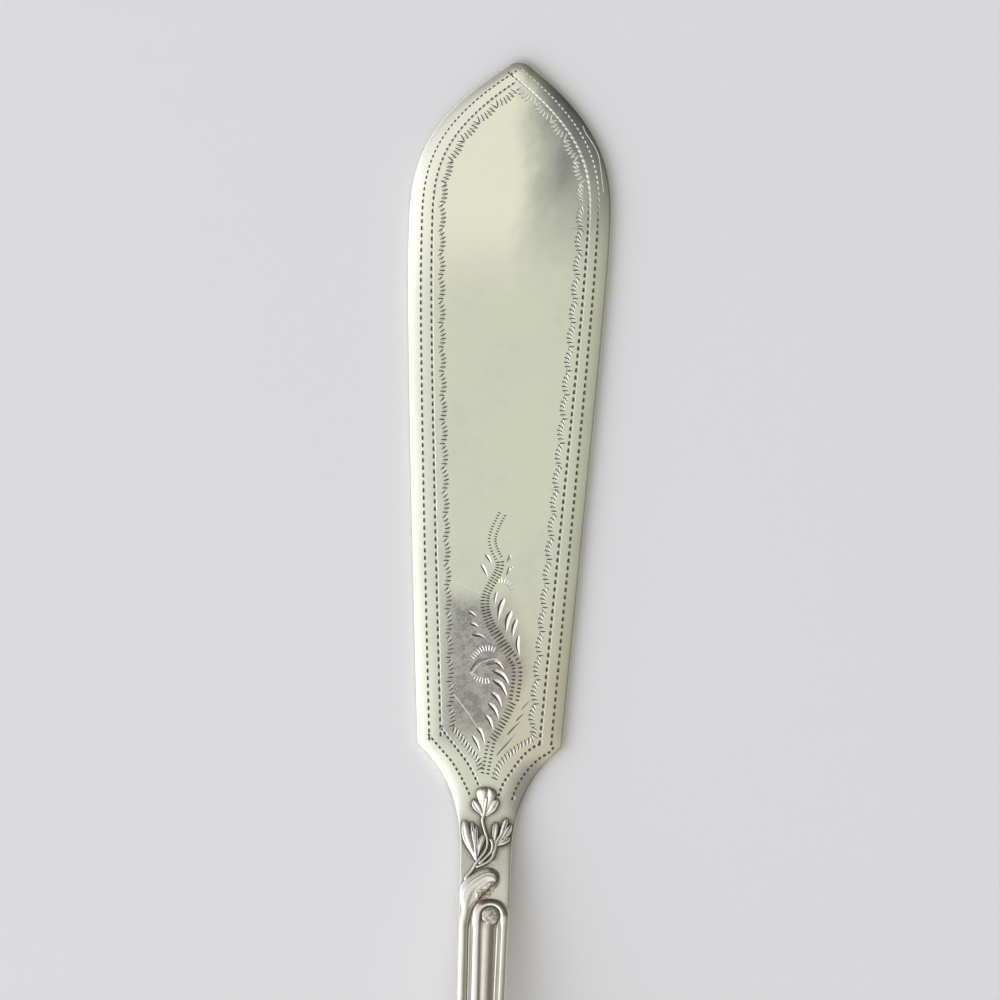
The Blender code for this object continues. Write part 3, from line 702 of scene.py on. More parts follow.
def scratches(tree, turn, length, spacing, rare):
    """Sparse fine lines at one angle: 1 on a line, 0 off it."""
    spot = millimetres(tree, turn, (1 / length, 1 / spacing, 1))
    return ramp(clouds(spot, 1.0, 2.0, 0.4), rare, rare + SCRATCH_EASE)


def new_material(name, metallic=1.0, roughness=0.5):
    """A material, bare metal unless told otherwise, and its shader."""
    material = bpy.data.materials.new(name)
    material.use_nodes = True
    shader = material.node_tree.nodes["Principled BSDF"]
    shader.inputs["Metallic"].default_value = metallic
    shader.inputs["Roughness"].default_value = roughness
    return material, shader


def link(tone, socket):
    tone.tree.links.new(tone.socket, socket)


def wear(shader, colour, roughness, height, depth):
    """Give a worn surface its colour, its roughness and a relief of a depth."""
    bump = height.node("ShaderNodeBump", None, {"Strength": 1.0, "Distance": depth, "Height": height})
    for name, tone in (("Base Color", colour), ("Roughness", roughness), ("Normal", bump)):
        link(tone, shader.inputs[name])


FIELD = (0.76, 0.79, 0.595, 1)
FIELD_GREY = (0.69, 0.71, 0.55, 1)
TIP_PAINTED_LIGHT = (0.95, 0.945, 0.74, 1)
TIP_PAINTED_SHADE = (0.21, 0.22, 0.215, 1)
PATCH_LIGHT = (0.45, 0.445, 0.40, 1)
PATCH_DARK = (0.30, 0.295, 0.26, 1)
PIT_TARNISH = (0.28, 0.265, 0.20, 1)
BAND_TARNISH = (0.25, 0.235, 0.185, 1)
GLINT_WHITE = (0.94, 0.93, 0.86, 1)
CUT_SILVER = (0.82, 0.81, 0.72, 1)
CUT_GREY = (0.42, 0.41, 0.36, 1)
SCROLL_SILVER = (0.66, 0.65, 0.56, 1)
SHADE_GREY = (0.30, 0.28, 0.235, 1)
SHADE_DARK = (0.13, 0.12, 0.10, 1)
NECK_CREAM = (0.80, 0.78, 0.64, 1)
SHOULDER_WARM = (0.56, 0.42, 0.29, 1)
SHOULDER_SHADE_GREY = (0.32, 0.32, 0.30, 1)
TARNISH_AND_SHADE_BROWN = (0.10, 0.075, 0.045, 1)
SHELTER_REACH = 0.0007
SHELTER_SAMPLES = 8
FACE_EASE = 0.3
# Where each tint starts and is full, in millimetres from the knife's middle, along it and across it:
# the painted light and the painted shade at the tip, the painted glints in the pits there, the warm
# shoulder, the cream of the neck and the brown tarnish and painted shade round the sprig
TIP_PAINTED_LIGHT_ALONG = (64.0, 76.0)
TIP_PAINTED_LIGHT_ACROSS = (0.0, 3.4)
TIP_SHADE_ALONG = (66.0, 88.0)
TIP_SHADE_ACROSS = (0.2, 6.4)
PIT_GLINT_ALONG = (73.0, 80.0)
PIT_GLINT_ACROSS = (-0.2, 1.4)
WARM_TOP = 38.0
WARM_RUN = 17.0
WARM_ACROSS = (-1.0, 3.0)
WARM_SHARE = 0.30
NECK_ALONG = (5.0, 14.0)
SPRIG_ALONG = (12.0, 14.0)
SPRIG_RECESS = (0.03, 0.19)
SPRIG_SHARE = 0.92
# The rubbed patch round the scroll: its sides and ends, the slope of its foot, the place and slope of
# the side at its upper right, and where, over what run and by how much it narrows below
PATCH_SIDES = (-4.9, 3.5)
PATCH_ENDS = (18.4, 33.0)
PATCH_FOOT = 0.7
PATCH_SLANT = (36.0, 0.45)
PATCH_NARROW = (26.5, 8.0, 2.8)
PATCH_EASE = (-1.8, 1.4)
# Past the stem the patch is fainter: the stem's slope and place, the ease past it, its range, its loss
FAINT_STEM = (0.67, 20.1)
FAINT_EASE = 1.6
FAINT_ALONG = (25.5, 27.5)
FAINT_LOSS = 0.38
# The painted shade along the right shoulder's edge: its middle, its way, and its reach beside and along
SHOULDER_SHADE_MIDDLE = (4.2, 13.0)
SHOULDER_SHADE_WAY = (0.5, 0.87)
SHOULDER_SHADE_REACH = (2.5, 4.2)
SHOULDER_SHADE_SHARE = 0.85
SCRATCH_SHARE = 0.08
RUBBED_SHARE = 0.13
BLADE_ROUGHNESS = 0.27
BLADE_RELIEF = 0.00006
PIT_ROUGHNESS = 0.4
CUT_ROUGHNESS = 0.28


def axes(spot):
    """The place across and along the knife, in millimetres."""
    split = spot.node("ShaderNodeSeparateXYZ", None, {0: spot})
    return split, Tone(spot.tree, split.socket.node.outputs[1])


def face_up(spot, distance):
    """1 on the decorated face and 0 on the underside, near a distance from the tip."""
    height = Tone(spot.tree, axes(spot)[0].socket.node.outputs[2])
    middle = MILLI * (lift(distance) + thickness(distance) / 2)
    return ramp(height, middle, middle + MILLI * FACE_EASE * thickness(distance))


def sheltered(spot):
    """How far a place is shut in by what stands round it: 0 in the open."""
    sockets = {"Distance": SHELTER_REACH}
    return 1.0 - spot.node("ShaderNodeAmbientOcclusion", {"samples": SHELTER_SAMPLES}, sockets, 1)


def beside_and_down(across, along, middle, way):
    """How far a place lies beside and along a line through a middle."""
    from_x, from_y = across - middle[0], along - middle[1]
    return from_x * way[1] - from_y * way[0], from_x * way[0] + from_y * way[1]


def rubbed_patch(across, along, grain):
    """1 inside the rubbed patch round the scroll, fainter past the stem, 0 outside it."""
    lower = ramp(PATCH_NARROW[0] - along, 0.0, PATCH_NARROW[1]) * PATCH_NARROW[2]
    right = across.math("MINIMUM", (PATCH_SLANT[0] - along) * PATCH_SLANT[1], PATCH_SIDES[1] - lower)
    inside = across.math("MINIMUM", across - PATCH_SIDES[0], right - across)
    ends = across.math("MINIMUM", PATCH_ENDS[1] - along, (along - PATCH_ENDS[0]) * PATCH_FOOT)
    inside = across.math("MINIMUM", inside, ends)
    past_stem = across + along * FAINT_STEM[0] - FAINT_STEM[1]
    faint = ramp(past_stem, 0.0, FAINT_EASE) * ramp(along, *FAINT_ALONG) * FAINT_LOSS
    return ramp(inside + sway(grain, 1.8), *PATCH_EASE) * (1.0 - faint)


def blade_silver():
    """Worn silver plate: even in the middle, with painted light at the left of the tip and painted
    shade at its right, rubbed grey and scratched round the scroll, painted shade at the right shoulder
    and brown tarnish with painted shade where the sprig meets it."""
    material, shader = new_material("blade_silver")
    tree = material.node_tree
    spot = millimetres(tree)
    across, along = axes(spot)
    shown = face_up(spot, 0.0)
    cloud = clouds(spot, 0.06, 4.0)
    grain = clouds(spot, 0.9)
    speck = clouds(spot, 4.0, 2.0)
    drift = clouds(millimetres(tree, -0.5, (1.0, 0.4, 1)), 0.35, 4.0)
    colour = tint(FIELD_GREY, FIELD, ramp(cloud + sway(grain, 0.3), 0.25, 0.6))
    # Painted light: the left of the tip is lighter, on the side the light comes from.
    light = ramp(along, *TIP_PAINTED_LIGHT_ALONG) * (1.0 - ramp(across + sway(drift, 3.0), *TIP_PAINTED_LIGHT_ACROSS))
    colour = tint(colour, TIP_PAINTED_LIGHT, light * shown)
    # Painted shade: the right of the tip is darker grey.
    tip_shade = ramp(along + sway(cloud, 5.0) + sway(drift, 6.0), *TIP_SHADE_ALONG)
    tip_shade = tip_shade * ramp(across + sway(drift, 4.5) + sway(grain, 1.4), *TIP_SHADE_ACROSS)
    colour = tint(colour, TIP_PAINTED_SHADE, tip_shade * shown)
    mottle = tint(PATCH_DARK, PATCH_LIGHT, ramp(grain + sway(speck, 0.8), 0.35, 0.65))
    rubbed = scratches(tree, 0.75, 3.0, 0.14, 0.56) + scratches(tree, -0.7, 2.4, 0.12, 0.58)
    mottle = tint(mottle, CUT_SILVER, rubbed * RUBBED_SHARE)
    colour = tint(colour, mottle, rubbed_patch(across, along, grain) * shown)
    worn = scratches(tree, 0.35, 7.0, 0.10, 0.68) + scratches(tree, 1.2, 9.0, 0.09, 0.68)
    colour = tint(colour, CUT_SILVER, worn * SCRATCH_SHARE)
    warm = ramp(WARM_TOP - along + sway(cloud, 6.0), 0.0, WARM_RUN)
    warm = warm * ramp(across + sway(cloud, 2.0), *WARM_ACROSS)
    colour = tint(colour, SHOULDER_WARM, warm * shown * WARM_SHARE)
    colour = tint(NECK_CREAM, colour, ramp(along, *NECK_ALONG))
    # Painted shade along the right shoulder's edge, darkest at the edge.
    beside, down = beside_and_down(across, along, SHOULDER_SHADE_MIDDLE, SHOULDER_SHADE_WAY)
    beside, down = beside * (1 / SHOULDER_SHADE_REACH[0]), down * (1 / SHOULDER_SHADE_REACH[1])
    dull_and_shade = ramp(1.0 - beside * beside - down * down + sway(grain, 0.5), 0.0, 1.1)
    colour = tint(colour, SHOULDER_SHADE_GREY, dull_and_shade * shown * SHOULDER_SHADE_SHARE)
    # Brown tarnish and painted shade in the sheltered places round the sprig.
    recess = ramp(sheltered(spot) + sway(speck, 0.06), *SPRIG_RECESS)
    colour = tint(colour, TARNISH_AND_SHADE_BROWN, recess * (1.0 - ramp(along, *SPRIG_ALONG)) * SPRIG_SHARE)
    fine = clouds(millimetres(tree, 0.0, (0.25, 6.0, 1)), 1.0)
    height = clouds(spot, 0.05, 1.0) * 1.5 + grain * 0.12 + fine * 0.04 + speck * 0.02
    wear(shader, colour, BLADE_ROUGHNESS + grain * 0.08, height, BLADE_RELIEF)
    return material


def tarnished_pit(name, tarnish):
    """Dark tarnish in punched pits and strokes, with painted glints in place of it at the right of the
    tip.
    """
    material, shader = new_material(name, roughness=PIT_ROUGHNESS)
    spot = millimetres(material.node_tree)
    across, along = axes(spot)
    grain = clouds(spot, 2.2)
    # Painted highlight: the pits at the right of the tip are near white, as glints.
    rubbed = ramp(along, *PIT_GLINT_ALONG) * ramp(across, *PIT_GLINT_ACROSS)
    colour = tint(tint(tarnish, CUT_SILVER, ramp(grain, 0.55, 0.8) * 0.25), GLINT_WHITE, rubbed)
    link(colour, shader.inputs["Base Color"])
    return material


def cut_wall(name, clean, dull_and_shade):
    """The wall of a cut, duller in places."""
    material, shader = new_material(name, roughness=CUT_ROUGHNESS)
    grain = clouds(millimetres(material.node_tree), 1.6)
    colour = tint(clean, dull_and_shade, ramp(grain, 0.45, 0.75) * 0.6)
    link(colour, shader.inputs["Base Color"])
    return material


blade.data.materials.append(blade_silver())
pit_material = tarnished_pit("pit_tarnish_and_shade", PIT_TARNISH)
band_material = tarnished_pit("band_tarnish", BAND_TARNISH)
cut_material = cut_wall("bright_cut", CUT_SILVER, CUT_GREY)
# Near-white walls for the fringes, slips and long cuts: a painted highlight.
glint_material = cut_wall("glint_stroke", GLINT_WHITE, CUT_SILVER)
scroll_material = cut_wall("scroll_cut", SCROLL_SILVER, CUT_GREY)
shade_material = cut_wall("shaded_cut", SHADE_GREY, SHADE_DARK)
cuts = [cut_shape(width, points) for width, points in SCROLL_CUTS]
long_cuts = [cut_shape(width, points) for width, points in LONG_CUTS]
engrave_in_turns("rims", rims, RIM_DEPTH_SHARE, cut_material, skew=RIM_SKEW)
# Scroll cuts: the lighter copy on the right walls and the shaded copy on the left walls, as painted
# shade.
engrave_in_turns("scroll_cuts", cuts, CUT_DEPTH_SHARE, scroll_material, shade_material, CUT_SKEW)
# The long cuts' left walls take the pits' dark tarnish as painted shade, their right walls a painted
# highlight.
engrave(blade, graver("long_cuts", long_cuts, TICK_DEPTH_SHARE), glint_material, pit_material)
engrave(blade, graver("slips", slips, TICK_DEPTH_SHARE), glint_material)
engrave(blade, graver("band_back", back, BAND_BACK_SHARE), cut_material)
engrave_in_turns("band_forth", forth, TICK_DEPTH_SHARE, band_material)
engrave_in_turns("dark_strokes", fine_strokes["dark"], TICK_DEPTH_SHARE, pit_material)
engrave_in_turns("grey_strokes", fine_strokes["grey"], TICK_DEPTH_SHARE, band_material)
engrave_in_turns("bright_strokes", fine_strokes["bright"], FRINGE_DEPTH_SHARE, glint_material)
engrave_in_turns("pits", pits, PIT_DEPTH_SHARE, pit_material)

SMOOTH_ANGLE = math.radians(40)
FLAT_FACE = 0.99999


def shade(piece, angle):
    """Smooth shading where the plain surface is round, flat facets in the cuts and sharp rims round
    them."""
    pick(piece)
    bpy.ops.object.shade_smooth_by_angle(angle=angle)
    finishes = {}
    for polygon in piece.data.polygons:
        polygon.use_smooth = polygon.material_index == 0 and polygon.normal.z < FLAT_FACE
        for key in polygon.edge_keys:
            finishes.setdefault(key, set()).add(polygon.material_index)
    for edge in piece.data.edges:
        if len(finishes[edge.key]) > 1:
            edge.use_edge_sharp = True


shade(blade, SMOOTH_ANGLE)
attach(blade, "root")
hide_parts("blade")

# Handle: a bar of the same metal, bowed lengthwise, drawn in to a waist below the neck and flared to
# a rounded end. It takes the blade's tang, and the joint is soldered and polished flush.
WAIST_WIDTH = 0.0052
END_WIDTH = 0.016
END_START = 0.170
STEM_EASE = 0.33
FLARE_EASE_IN = 0.38
FLARE_EASE_OUT = 0.41
END_ROUNDNESS = 0.56
HANDLE_STEPS = (60, 70, 40)
HANDLE_GREY = (0.68, 0.66, 0.57, 1)
CORROSION = (0.50, 0.37, 0.24, 1)
CREVICE = (0.10, 0.055, 0.028, 1)
RECESS_SHARE = 0.9
RECESS_EASE = (0.08, 0.40)
ORNAMENT_ROUGHNESS = 0.28
ORNAMENT_RELIEF = 0.00005
# The eaten crevice under the hook, in millimetres: its middle and way, its size and how fast it thins
# out beside and along that way, and a dark line of painted shade down its middle
CREVICE_PLACE = SEAM + 0.004
CREVICE_MIDDLE = (0.02, 1.2)
CREVICE_WAY = (0.68, 0.73)
CREVICE_SIZE = 0.75
CREVICE_THINNING = (1.5, 0.34)
CORROSION_SHARE = 0.65
EATEN_SHARE = 0.7
CREVICE_SHADE_WIDTH = 0.05
CREVICE_SHADE_THINNING = 0.02
CREVICE_SHADE_SHARE = 0.92
# Painted shade on the loop's head, the hook's end and the top leaf, on the sides that face away from
# the light, in millimetres: its middle, where it starts, is full, fades and ends out from there, the
# way it faces, the range along that way, and its strength
PAINTED_SHADE_ARCS = [
    ((0.77, -1.12), (1.25, 1.42, 1.75, 1.95), (0.45, 1.0), (0.3, 1.0), 0.75),
    ((0.43, 2.79), (0.72, 0.86, 1.15, 1.35), (0.95, 0.3), (0.0, 0.5), 0.75),
    ((-0.15, 11.2), (0.7, 1.2, 2.3, 2.7), (0.3, 1.0), (0.4, 1.2), 0.40),
]


def handle_outline(stem_steps, flare_steps, end_steps):
    """Right edge of the handle as (across, distance), from the seam to the middle of its end."""
    neck = Vector((NECK_WIDTH / 2, SEAM))
    waist = Vector((WAIST_WIDTH / 2, WAIST))
    widest = Vector((END_WIDTH / 2, END_START))
    end = Vector((0, KNIFE_LENGTH))
    stem_lead = Vector((0, (WAIST - SEAM) * STEM_EASE))
    stem = bezier(neck, neck + stem_lead, waist - stem_lead, waist, stem_steps)
    flare_run = Vector((0, END_START - WAIST))
    flare_in, flare_out = flare_run * FLARE_EASE_IN, flare_run * FLARE_EASE_OUT
    flare = bezier(waist, waist + flare_in, widest - flare_out, widest, flare_steps)
    end_lead = Vector((END_WIDTH / 2 * END_ROUNDNESS, 0))
    side_lead = Vector((0, (KNIFE_LENGTH - END_START) * END_ROUNDNESS))
    rounded = bezier(widest, widest + side_lead, end + end_lead, end, end_steps)
    return stem + flare + rounded + [end]


def ornament_silver(name, cream, grey, recess_share, mottle=0.3):
    """Worn silver, brown in the recesses with tarnish and painted shade, mottled, and eaten by
    corrosion under the hook, with painted shade in the crevice there and on a few arcs.
    """
    material, shader = new_material(name)
    tree = material.node_tree
    spot = millimetres(tree)
    across, along = axes(spot)
    cloud = clouds(spot, 0.25, 4.0)
    grain = clouds(spot, 3.0)
    colour = tint(grey, cream, ramp(cloud + sway(grain, mottle), 0.3, 0.6))
    # Brown tarnish and painted shade in the sheltered places.
    recess = ramp(sheltered(spot) + sway(grain, 0.12), *RECESS_EASE)
    colour = tint(colour, TARNISH_AND_SHADE_BROWN, recess * recess_share)
    shown = face_up(spot, CREVICE_PLACE)
    beside, down = beside_and_down(across, along, CREVICE_MIDDLE, CREVICE_WAY)
    spread = beside * beside * CREVICE_THINNING[0] + down * down * CREVICE_THINNING[1]
    eaten = ramp(CREVICE_SIZE - spread + sway(clouds(spot, 1.3, 2.0), 2.4), 0.0, 0.7) * shown
    colour = tint(colour, CORROSION, eaten * CORROSION_SHARE)
    colour = tint(colour, CREVICE, ramp(clouds(spot, 5.0, 2.0), 0.54, 0.66) * eaten * EATEN_SHARE)
    # Painted shade: a dark line down the middle of the crevice.
    crevice_shade = CREVICE_SHADE_WIDTH - beside * beside + sway(grain, 0.35) - down * down * CREVICE_SHADE_THINNING
    colour = tint(colour, CREVICE, ramp(crevice_shade, 0.0, 0.10) * shown * CREVICE_SHADE_SHARE)
    # Painted shade on the sides that face away from the light.
    for middle, (start, full, fading, end), way, facing, share in PAINTED_SHADE_ARCS:
        aside, above = across - middle[0], along - middle[1]
        reach = across.math("POWER", aside * aside + above * above, 0.5)
        shade_arc = ramp(reach, start, full) * (1.0 - ramp(reach, fading, end))
        shade_arc = shade_arc * ramp(aside * way[0] + above * way[1] + sway(grain, 0.6), *facing)
        shade_arc = shade_arc * face_up(spot, KNIFE_LENGTH / 2 - middle[1] / MILLI)
        colour = tint(colour, TARNISH_AND_SHADE_BROWN, shade_arc * share)
    fine = clouds(millimetres(tree, 0.0, (5.0, 0.3, 1)), 1.0)
    height = cloud * 0.8 + grain * (mottle * 0.75) + fine * 0.08 + eaten * grain * 2.0
    roughness = ORNAMENT_ROUGHNESS + grain * 0.10 + recess * 0.15 + eaten * 0.12
    wear(shader, colour, roughness, height, ORNAMENT_RELIEF)
    return material


handle_edge = handle_outline(*HANDLE_STEPS)
handle = plate("bowed_handle", handle_edge)
handle.data.materials.append(ornament_silver("handle_silver", NECK_CREAM, HANDLE_GREY, RECESS_SHARE))
shade(handle, SMOOTH_ANGLE)
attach(handle, "root")
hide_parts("handle")

# Edge tendril: a half-round thread soldered along the left edge. Its upper end is hammered out broad
# and curls over the head of the loop as a hook; its tail runs round the end and dies out.
TENDRIL_WIDTH = 0.0011
TENDRIL_HEIGHT = 0.00055
TENDRIL_LAND = 0.00003
TENDRIL_TAIL = 0.132
TAIL_TAPER = 0.014
THIN_END = 0.2
# The hook's way, across from the axis and past the seam, and its width and height along it
HOOK = [
    (0.00140, 0.0022), (0.00090, 0.0019), (0.00021, 0.0019), (-0.00054, 0.0024), (-0.00115, 0.0029),
    (-0.00155, 0.0036), (-0.00184, 0.0046), (-0.00198, 0.0057),
]
HOOK_JOIN = SEAM + 0.0068
HOOK_WIDTH = (0.0020, 0.0026)
HOOK_FULL = 0.0034
HOOK_SLIM = 0.0060
HOOK_HEIGHT = 0.00050
HOOK_FLATNESS = 0.62
# Folds along the hook: depth, place across it and spread
HOOK_FOLDS = [(0.26, -0.30, 0.05), (0.09, 0.36, 0.005), (0.11, 0.66, 0.005)]
SINK = 0.00012
THREAD_SIDES = 36
THREAD_ANGLE = math.radians(50)
THREAD_CREAM = (0.99, 0.96, 0.84, 1)
THREAD_GREY = (0.92, 0.885, 0.75, 1)
THREAD_RECESS = 0.15
TENDRIL_PITCH = 0.0003
BLUNTEST = 0.02
HAIR_SHORT = 0.99999


def on_face(across, distance, height):
    """A place at a height over the decorated face."""
    return place(across, distance, lift(distance) + thickness(distance) + height)


def with_foot(crown):
    """An outline over a crown, its foot a little way into what it lies on."""
    return [(crown[0][0], -SINK)] + crown + [(crown[-1][0], -SINK)]


def half_round(half_width, height):
    """Outline of a half-round thread as (offset, height)."""
    across_and_up = [(math.cos(turn), math.sin(turn)) for turn in turns(math.pi, THREAD_SIDES)]
    return with_foot([(half_width * across, height * up) for across, up in across_and_up])


def round_end(run, radius):
    """Share of the full width at a run from a rounded end."""
    return math.sqrt(max(1 - (1 - min(max(run, 0.0) / radius, 1.0)) ** 2, BLUNTEST ** 2))


def sweep(name, path, pitch, profile_at, closed=False):
    """A thread along a path on the decorated face, its outline given by the run. The steps are a hair
    short, so that the last one isn't lost."""
    total = path_length(path)
    count = round(total / pitch)
    places = walk(path + path[:1] if closed else path, even(total / count * HAIR_SHORT))
    rings = []
    spots = [spot for spot, along, run in places]
    for index, (spot, along, run) in enumerate(places):
        before = spots[index - 1] if index or closed else spot
        after = spots[(index + 1) % len(spots)] if index + 1 < len(spots) or closed else spot
        direction = (after - before).normalized()
        across = square_to(direction)
        ring = []
        for offset, height in profile_at(run):
            foot = spot + across * offset
            ring.append(on_face(foot.x, foot.y, height))
        rings.append(ring)
    if closed:
        rings.append(rings[0])
    return loft(name, rings)


def half_width_at(line, distance):
    """Width of a drawn-in right edge at a distance, between its two nearest points."""
    for before, after in zip(line, line[1:]):
        if before.y <= distance <= after.y:
            return mix(before.x, after.x, (distance - before.y) / (after.y - before.y))
    return line[0].x


def mirrored(points):
    return [Vector((-point.x, point.y)) for point in points]


tendril_line = draw_in(handle_edge, lambda distance: TENDRIL_LAND + TENDRIL_WIDTH / 2)
join = Vector((-half_width_at(tendril_line, HOOK_JOIN), HOOK_JOIN))
hook = flowing([(across, SEAM + past) for across, past in HOOK] + [join])
left_run = [point for point in mirrored(tendril_line) if point.y > HOOK_JOIN]
right_run = [point for point in reversed(tendril_line[:-1]) if point.y > TENDRIL_TAIL]
tendril_path = hook + left_run + right_run
tendril_length = path_length(tendril_path)


def tendril_profile(run):
    """Half round, flattened and folded along the hook."""
    share = smooth((run - HOOK_FULL) / (HOOK_SLIM - HOOK_FULL))
    tail = mix(THIN_END, 1.0, smooth((tendril_length - run) / TAIL_TAPER))
    rounding = round_end(run, HOOK_WIDTH[0] / 2) * tail
    width = mix(mix(*HOOK_WIDTH, smooth(run / HOOK_FULL)), TENDRIL_WIDTH, share) * rounding
    peak = mix(HOOK_HEIGHT, TENDRIL_HEIGHT, share) * rounding
    outline = []
    for offset, height in half_round(width / 2, peak):
        place_across = offset / (width / 2)
        if height > 0:
            height = peak * (height / peak) ** mix(HOOK_FLATNESS, 1.0, share)
            for depth, fold, spread in HOOK_FOLDS:
                height *= 1 - depth * (1 - share) * math.exp(-((place_across - fold) ** 2) / spread)
        outline.append((offset, height))
    return outline


threads = ornament_silver("thread_silver", THREAD_CREAM, THREAD_GREY, THREAD_RECESS)
tendril = sweep("hooked_tendril", tendril_path, TENDRIL_PITCH, tendril_profile)
tendril.data.materials.append(threads)
shade(tendril, THREAD_ANGLE)
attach(tendril, "root")
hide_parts("edge_tendril")

# Loop: a double half-round thread bent to a long closed loop, with a round head under the hook, and
# soldered inside the tendril. Its right side moves in where the tendril's tail comes up beside it.
LOOP_WIDTH = 0.0013
LOOP_GAP = 0.00002
LOOP_SPREAD = WAIST + 0.006
LOOP_SETTLED = WAIST + 0.028
LOOP_HEAD = Vector((0.00077, SEAM + 0.00592))
LOOP_HEAD_HOLE = 0.00104
LOOP_HEAD_BLEND = 0.0014
LOOP_HEAD_WIDTH = (0.00072, 0.0010)
OUTER_SHARE = (0.27, 0.68)
RIDGE_HEIGHT = 0.00031
RIDGE_CREST = 0.28
RIDGE_GROOVE = 0.10
NARROW_RIDGE = 0.25
LOOP_STEPS = 36
LOOP_PITCH = 0.0004
HEAD_STEPS = 32
HEAD_CLEAR = 0.0001
LOOP_VALLEY = 0.00003
# Where round the loop its broad ridge moves from the inside to the outside, and over what share of it
CROSSOVER = (0.45, 0.1)


def loop_left_inset(distance):
    return TENDRIL_LAND + TENDRIL_WIDTH + LOOP_GAP + LOOP_WIDTH / 2


def loop_right_inset(distance):
    at_edge = TENDRIL_LAND + LOOP_WIDTH / 2
    share = smooth((distance - LOOP_SPREAD) / (LOOP_SETTLED - LOOP_SPREAD))
    return mix(at_edge, loop_left_inset(distance), share)


right_strand = draw_in(handle_edge, loop_right_inset)
left_strand = mirrored(draw_in(handle_edge, loop_left_inset))


def head_width(turn):
    """Width of the thread round the head: thin over its top and broad at its sides."""
    return mix(*LOOP_HEAD_WIDTH, smooth(abs(math.cos(turn))))


head = [
    LOOP_HEAD + Vector((math.cos(turn), -math.sin(turn))) * (LOOP_HEAD_HOLE + head_width(turn) / 2)
    for turn in turns(math.pi, HEAD_STEPS)
]
head_reach = LOOP_HEAD_HOLE + LOOP_HEAD_WIDTH[1] / 2


def below_head(strand, side):
    """A strand below the head, led out from the head's side to its own line."""
    led = []
    for point in strand:
        if point.y > LOOP_HEAD.y + HEAD_CLEAR:
            share = smooth((point.y - LOOP_HEAD.y) / LOOP_HEAD_BLEND)
            led.append(Vector((mix(LOOP_HEAD.x + side * head_reach, point.x, share), point.y)))
    return led


right_strand = below_head(right_strand, 1)
left_strand = below_head(left_strand, -1)
loop_path = head + left_strand + right_strand[-2::-1]
head_length = path_length(head)
loop_length = path_length(loop_path + loop_path[:1])


def ridge_height(place_across, share):
    """Height of a ridge at a place across it, from its inner foot. A broad one leans inwards."""
    crest = RIDGE_CREST if share > 0.5 else 0.5
    near = place_across / crest if place_across < crest else (1 - place_across) / (1 - crest)
    return RIDGE_HEIGHT * min(share / NARROW_RIDGE, 1.0) * math.sqrt(max(1 - (1 - near) ** 2, 0.0))


def loop_profile(run):
    """Two ridges side by side, from the inner foot over the valley to the outer foot, one round the
    head."""
    if run < head_length:
        settled = 0.0
        width = head_width(math.pi * run / head_length)
        right = 1.0 - round(run / head_length)
    else:
        settled = smooth(min(run - head_length, loop_length - run) / LOOP_HEAD_BLEND)
        width = mix(LOOP_HEAD_WIDTH[1], LOOP_WIDTH, settled)
        right = smooth((run / loop_length - CROSSOVER[0]) / CROSSOVER[1])
    outer = mix(round(right), mix(*OUTER_SHARE, right), settled)
    groove = RIDGE_GROOVE / 2 * settled
    inner_end, outer_start = max(1 - outer - groove, 0.0), min(1 - outer + groove, 1.0)
    crown = []
    for step, turn in enumerate(turns(math.pi, LOOP_STEPS)):
        share = (1 - math.cos(turn)) / 2
        height = 0.0 if step in (0, LOOP_STEPS) else LOOP_VALLEY
        if share < inner_end:
            height = max(height, ridge_height(share / inner_end, inner_end))
        elif share > outer_start:
            breadth = 1 - outer_start
            height = max(height, ridge_height((share - outer_start) / breadth, breadth))
        crown.append((width * (share - 0.5), height))
    return with_foot(crown)


loop = sweep("double_loop", loop_path, LOOP_PITCH, loop_profile, closed=True)
loop.data.materials.append(threads)
shade(loop, THREAD_ANGLE)
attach(loop, "root")
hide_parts("loop_thread")

# Bead: a low disc of the same silver with a rounded rim, its face mottled by wear. It is soldered in
# the head of the loop.
BEAD_GAP = 0.00003
BEAD_HEIGHT = 0.00034
BEAD_FULLNESS = 0.55
BEAD_SEGMENTS = 40
BEAD_RINGS = 24
BEAD_CREAM = (0.76, 0.73, 0.62, 1)
BEAD_GREY = (0.36, 0.34, 0.28, 1)
BEAD_MOTTLE = 1.4
bead_radius = LOOP_HEAD_HOLE - BEAD_GAP
bpy.ops.object.select_all(action="DESELECT")
bpy.ops.mesh.primitive_uv_sphere_add(segments=BEAD_SEGMENTS, ring_count=BEAD_RINGS, radius=bead_radius)
bead = bpy.context.object
bead.name = "domed_bead"
bpy.ops.object.mode_set(mode="EDIT")
bpy.ops.mesh.select_all(action="SELECT")
bpy.ops.mesh.bisect(
    plane_co=(0, 0, -SINK), plane_no=(0, 0, 1), use_fill=True, clear_inner=True, threshold=MERGE
)
bpy.ops.object.mode_set(mode="OBJECT")
for vertex in bead.data.vertices:
    rise = max(vertex.co.z, 0.0) / bead_radius
    height = BEAD_HEIGHT * rise ** BEAD_FULLNESS if rise else vertex.co.z
    vertex.co = on_face(LOOP_HEAD.x + vertex.co.x, LOOP_HEAD.y - vertex.co.y, height)
bead_silver = ornament_silver("bead_silver", BEAD_CREAM, BEAD_GREY, RECESS_SHARE, BEAD_MOTTLE)
bead.data.materials.append(bead_silver)
shade(bead, THREAD_ANGLE)
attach(bead, "root")
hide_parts("loop_bead")

# Rib: a ridged rib of the same silver down the middle of the loop, from the bead to where the strands
# spread. It fills the loop from side to side and is soldered to the handle.
RIB_GAP = 0.00002
RIB_HEIGHT = 0.00024
RIB_SIDES = 12
RIB_CREST = 1.5
RIB_END = WAIST + 0.016
RIB_TAPER = 0.016
RIB_STEPS = 60
RIB_PITCH = 0.0003
RIB_BELOW_BEAD = 0.8
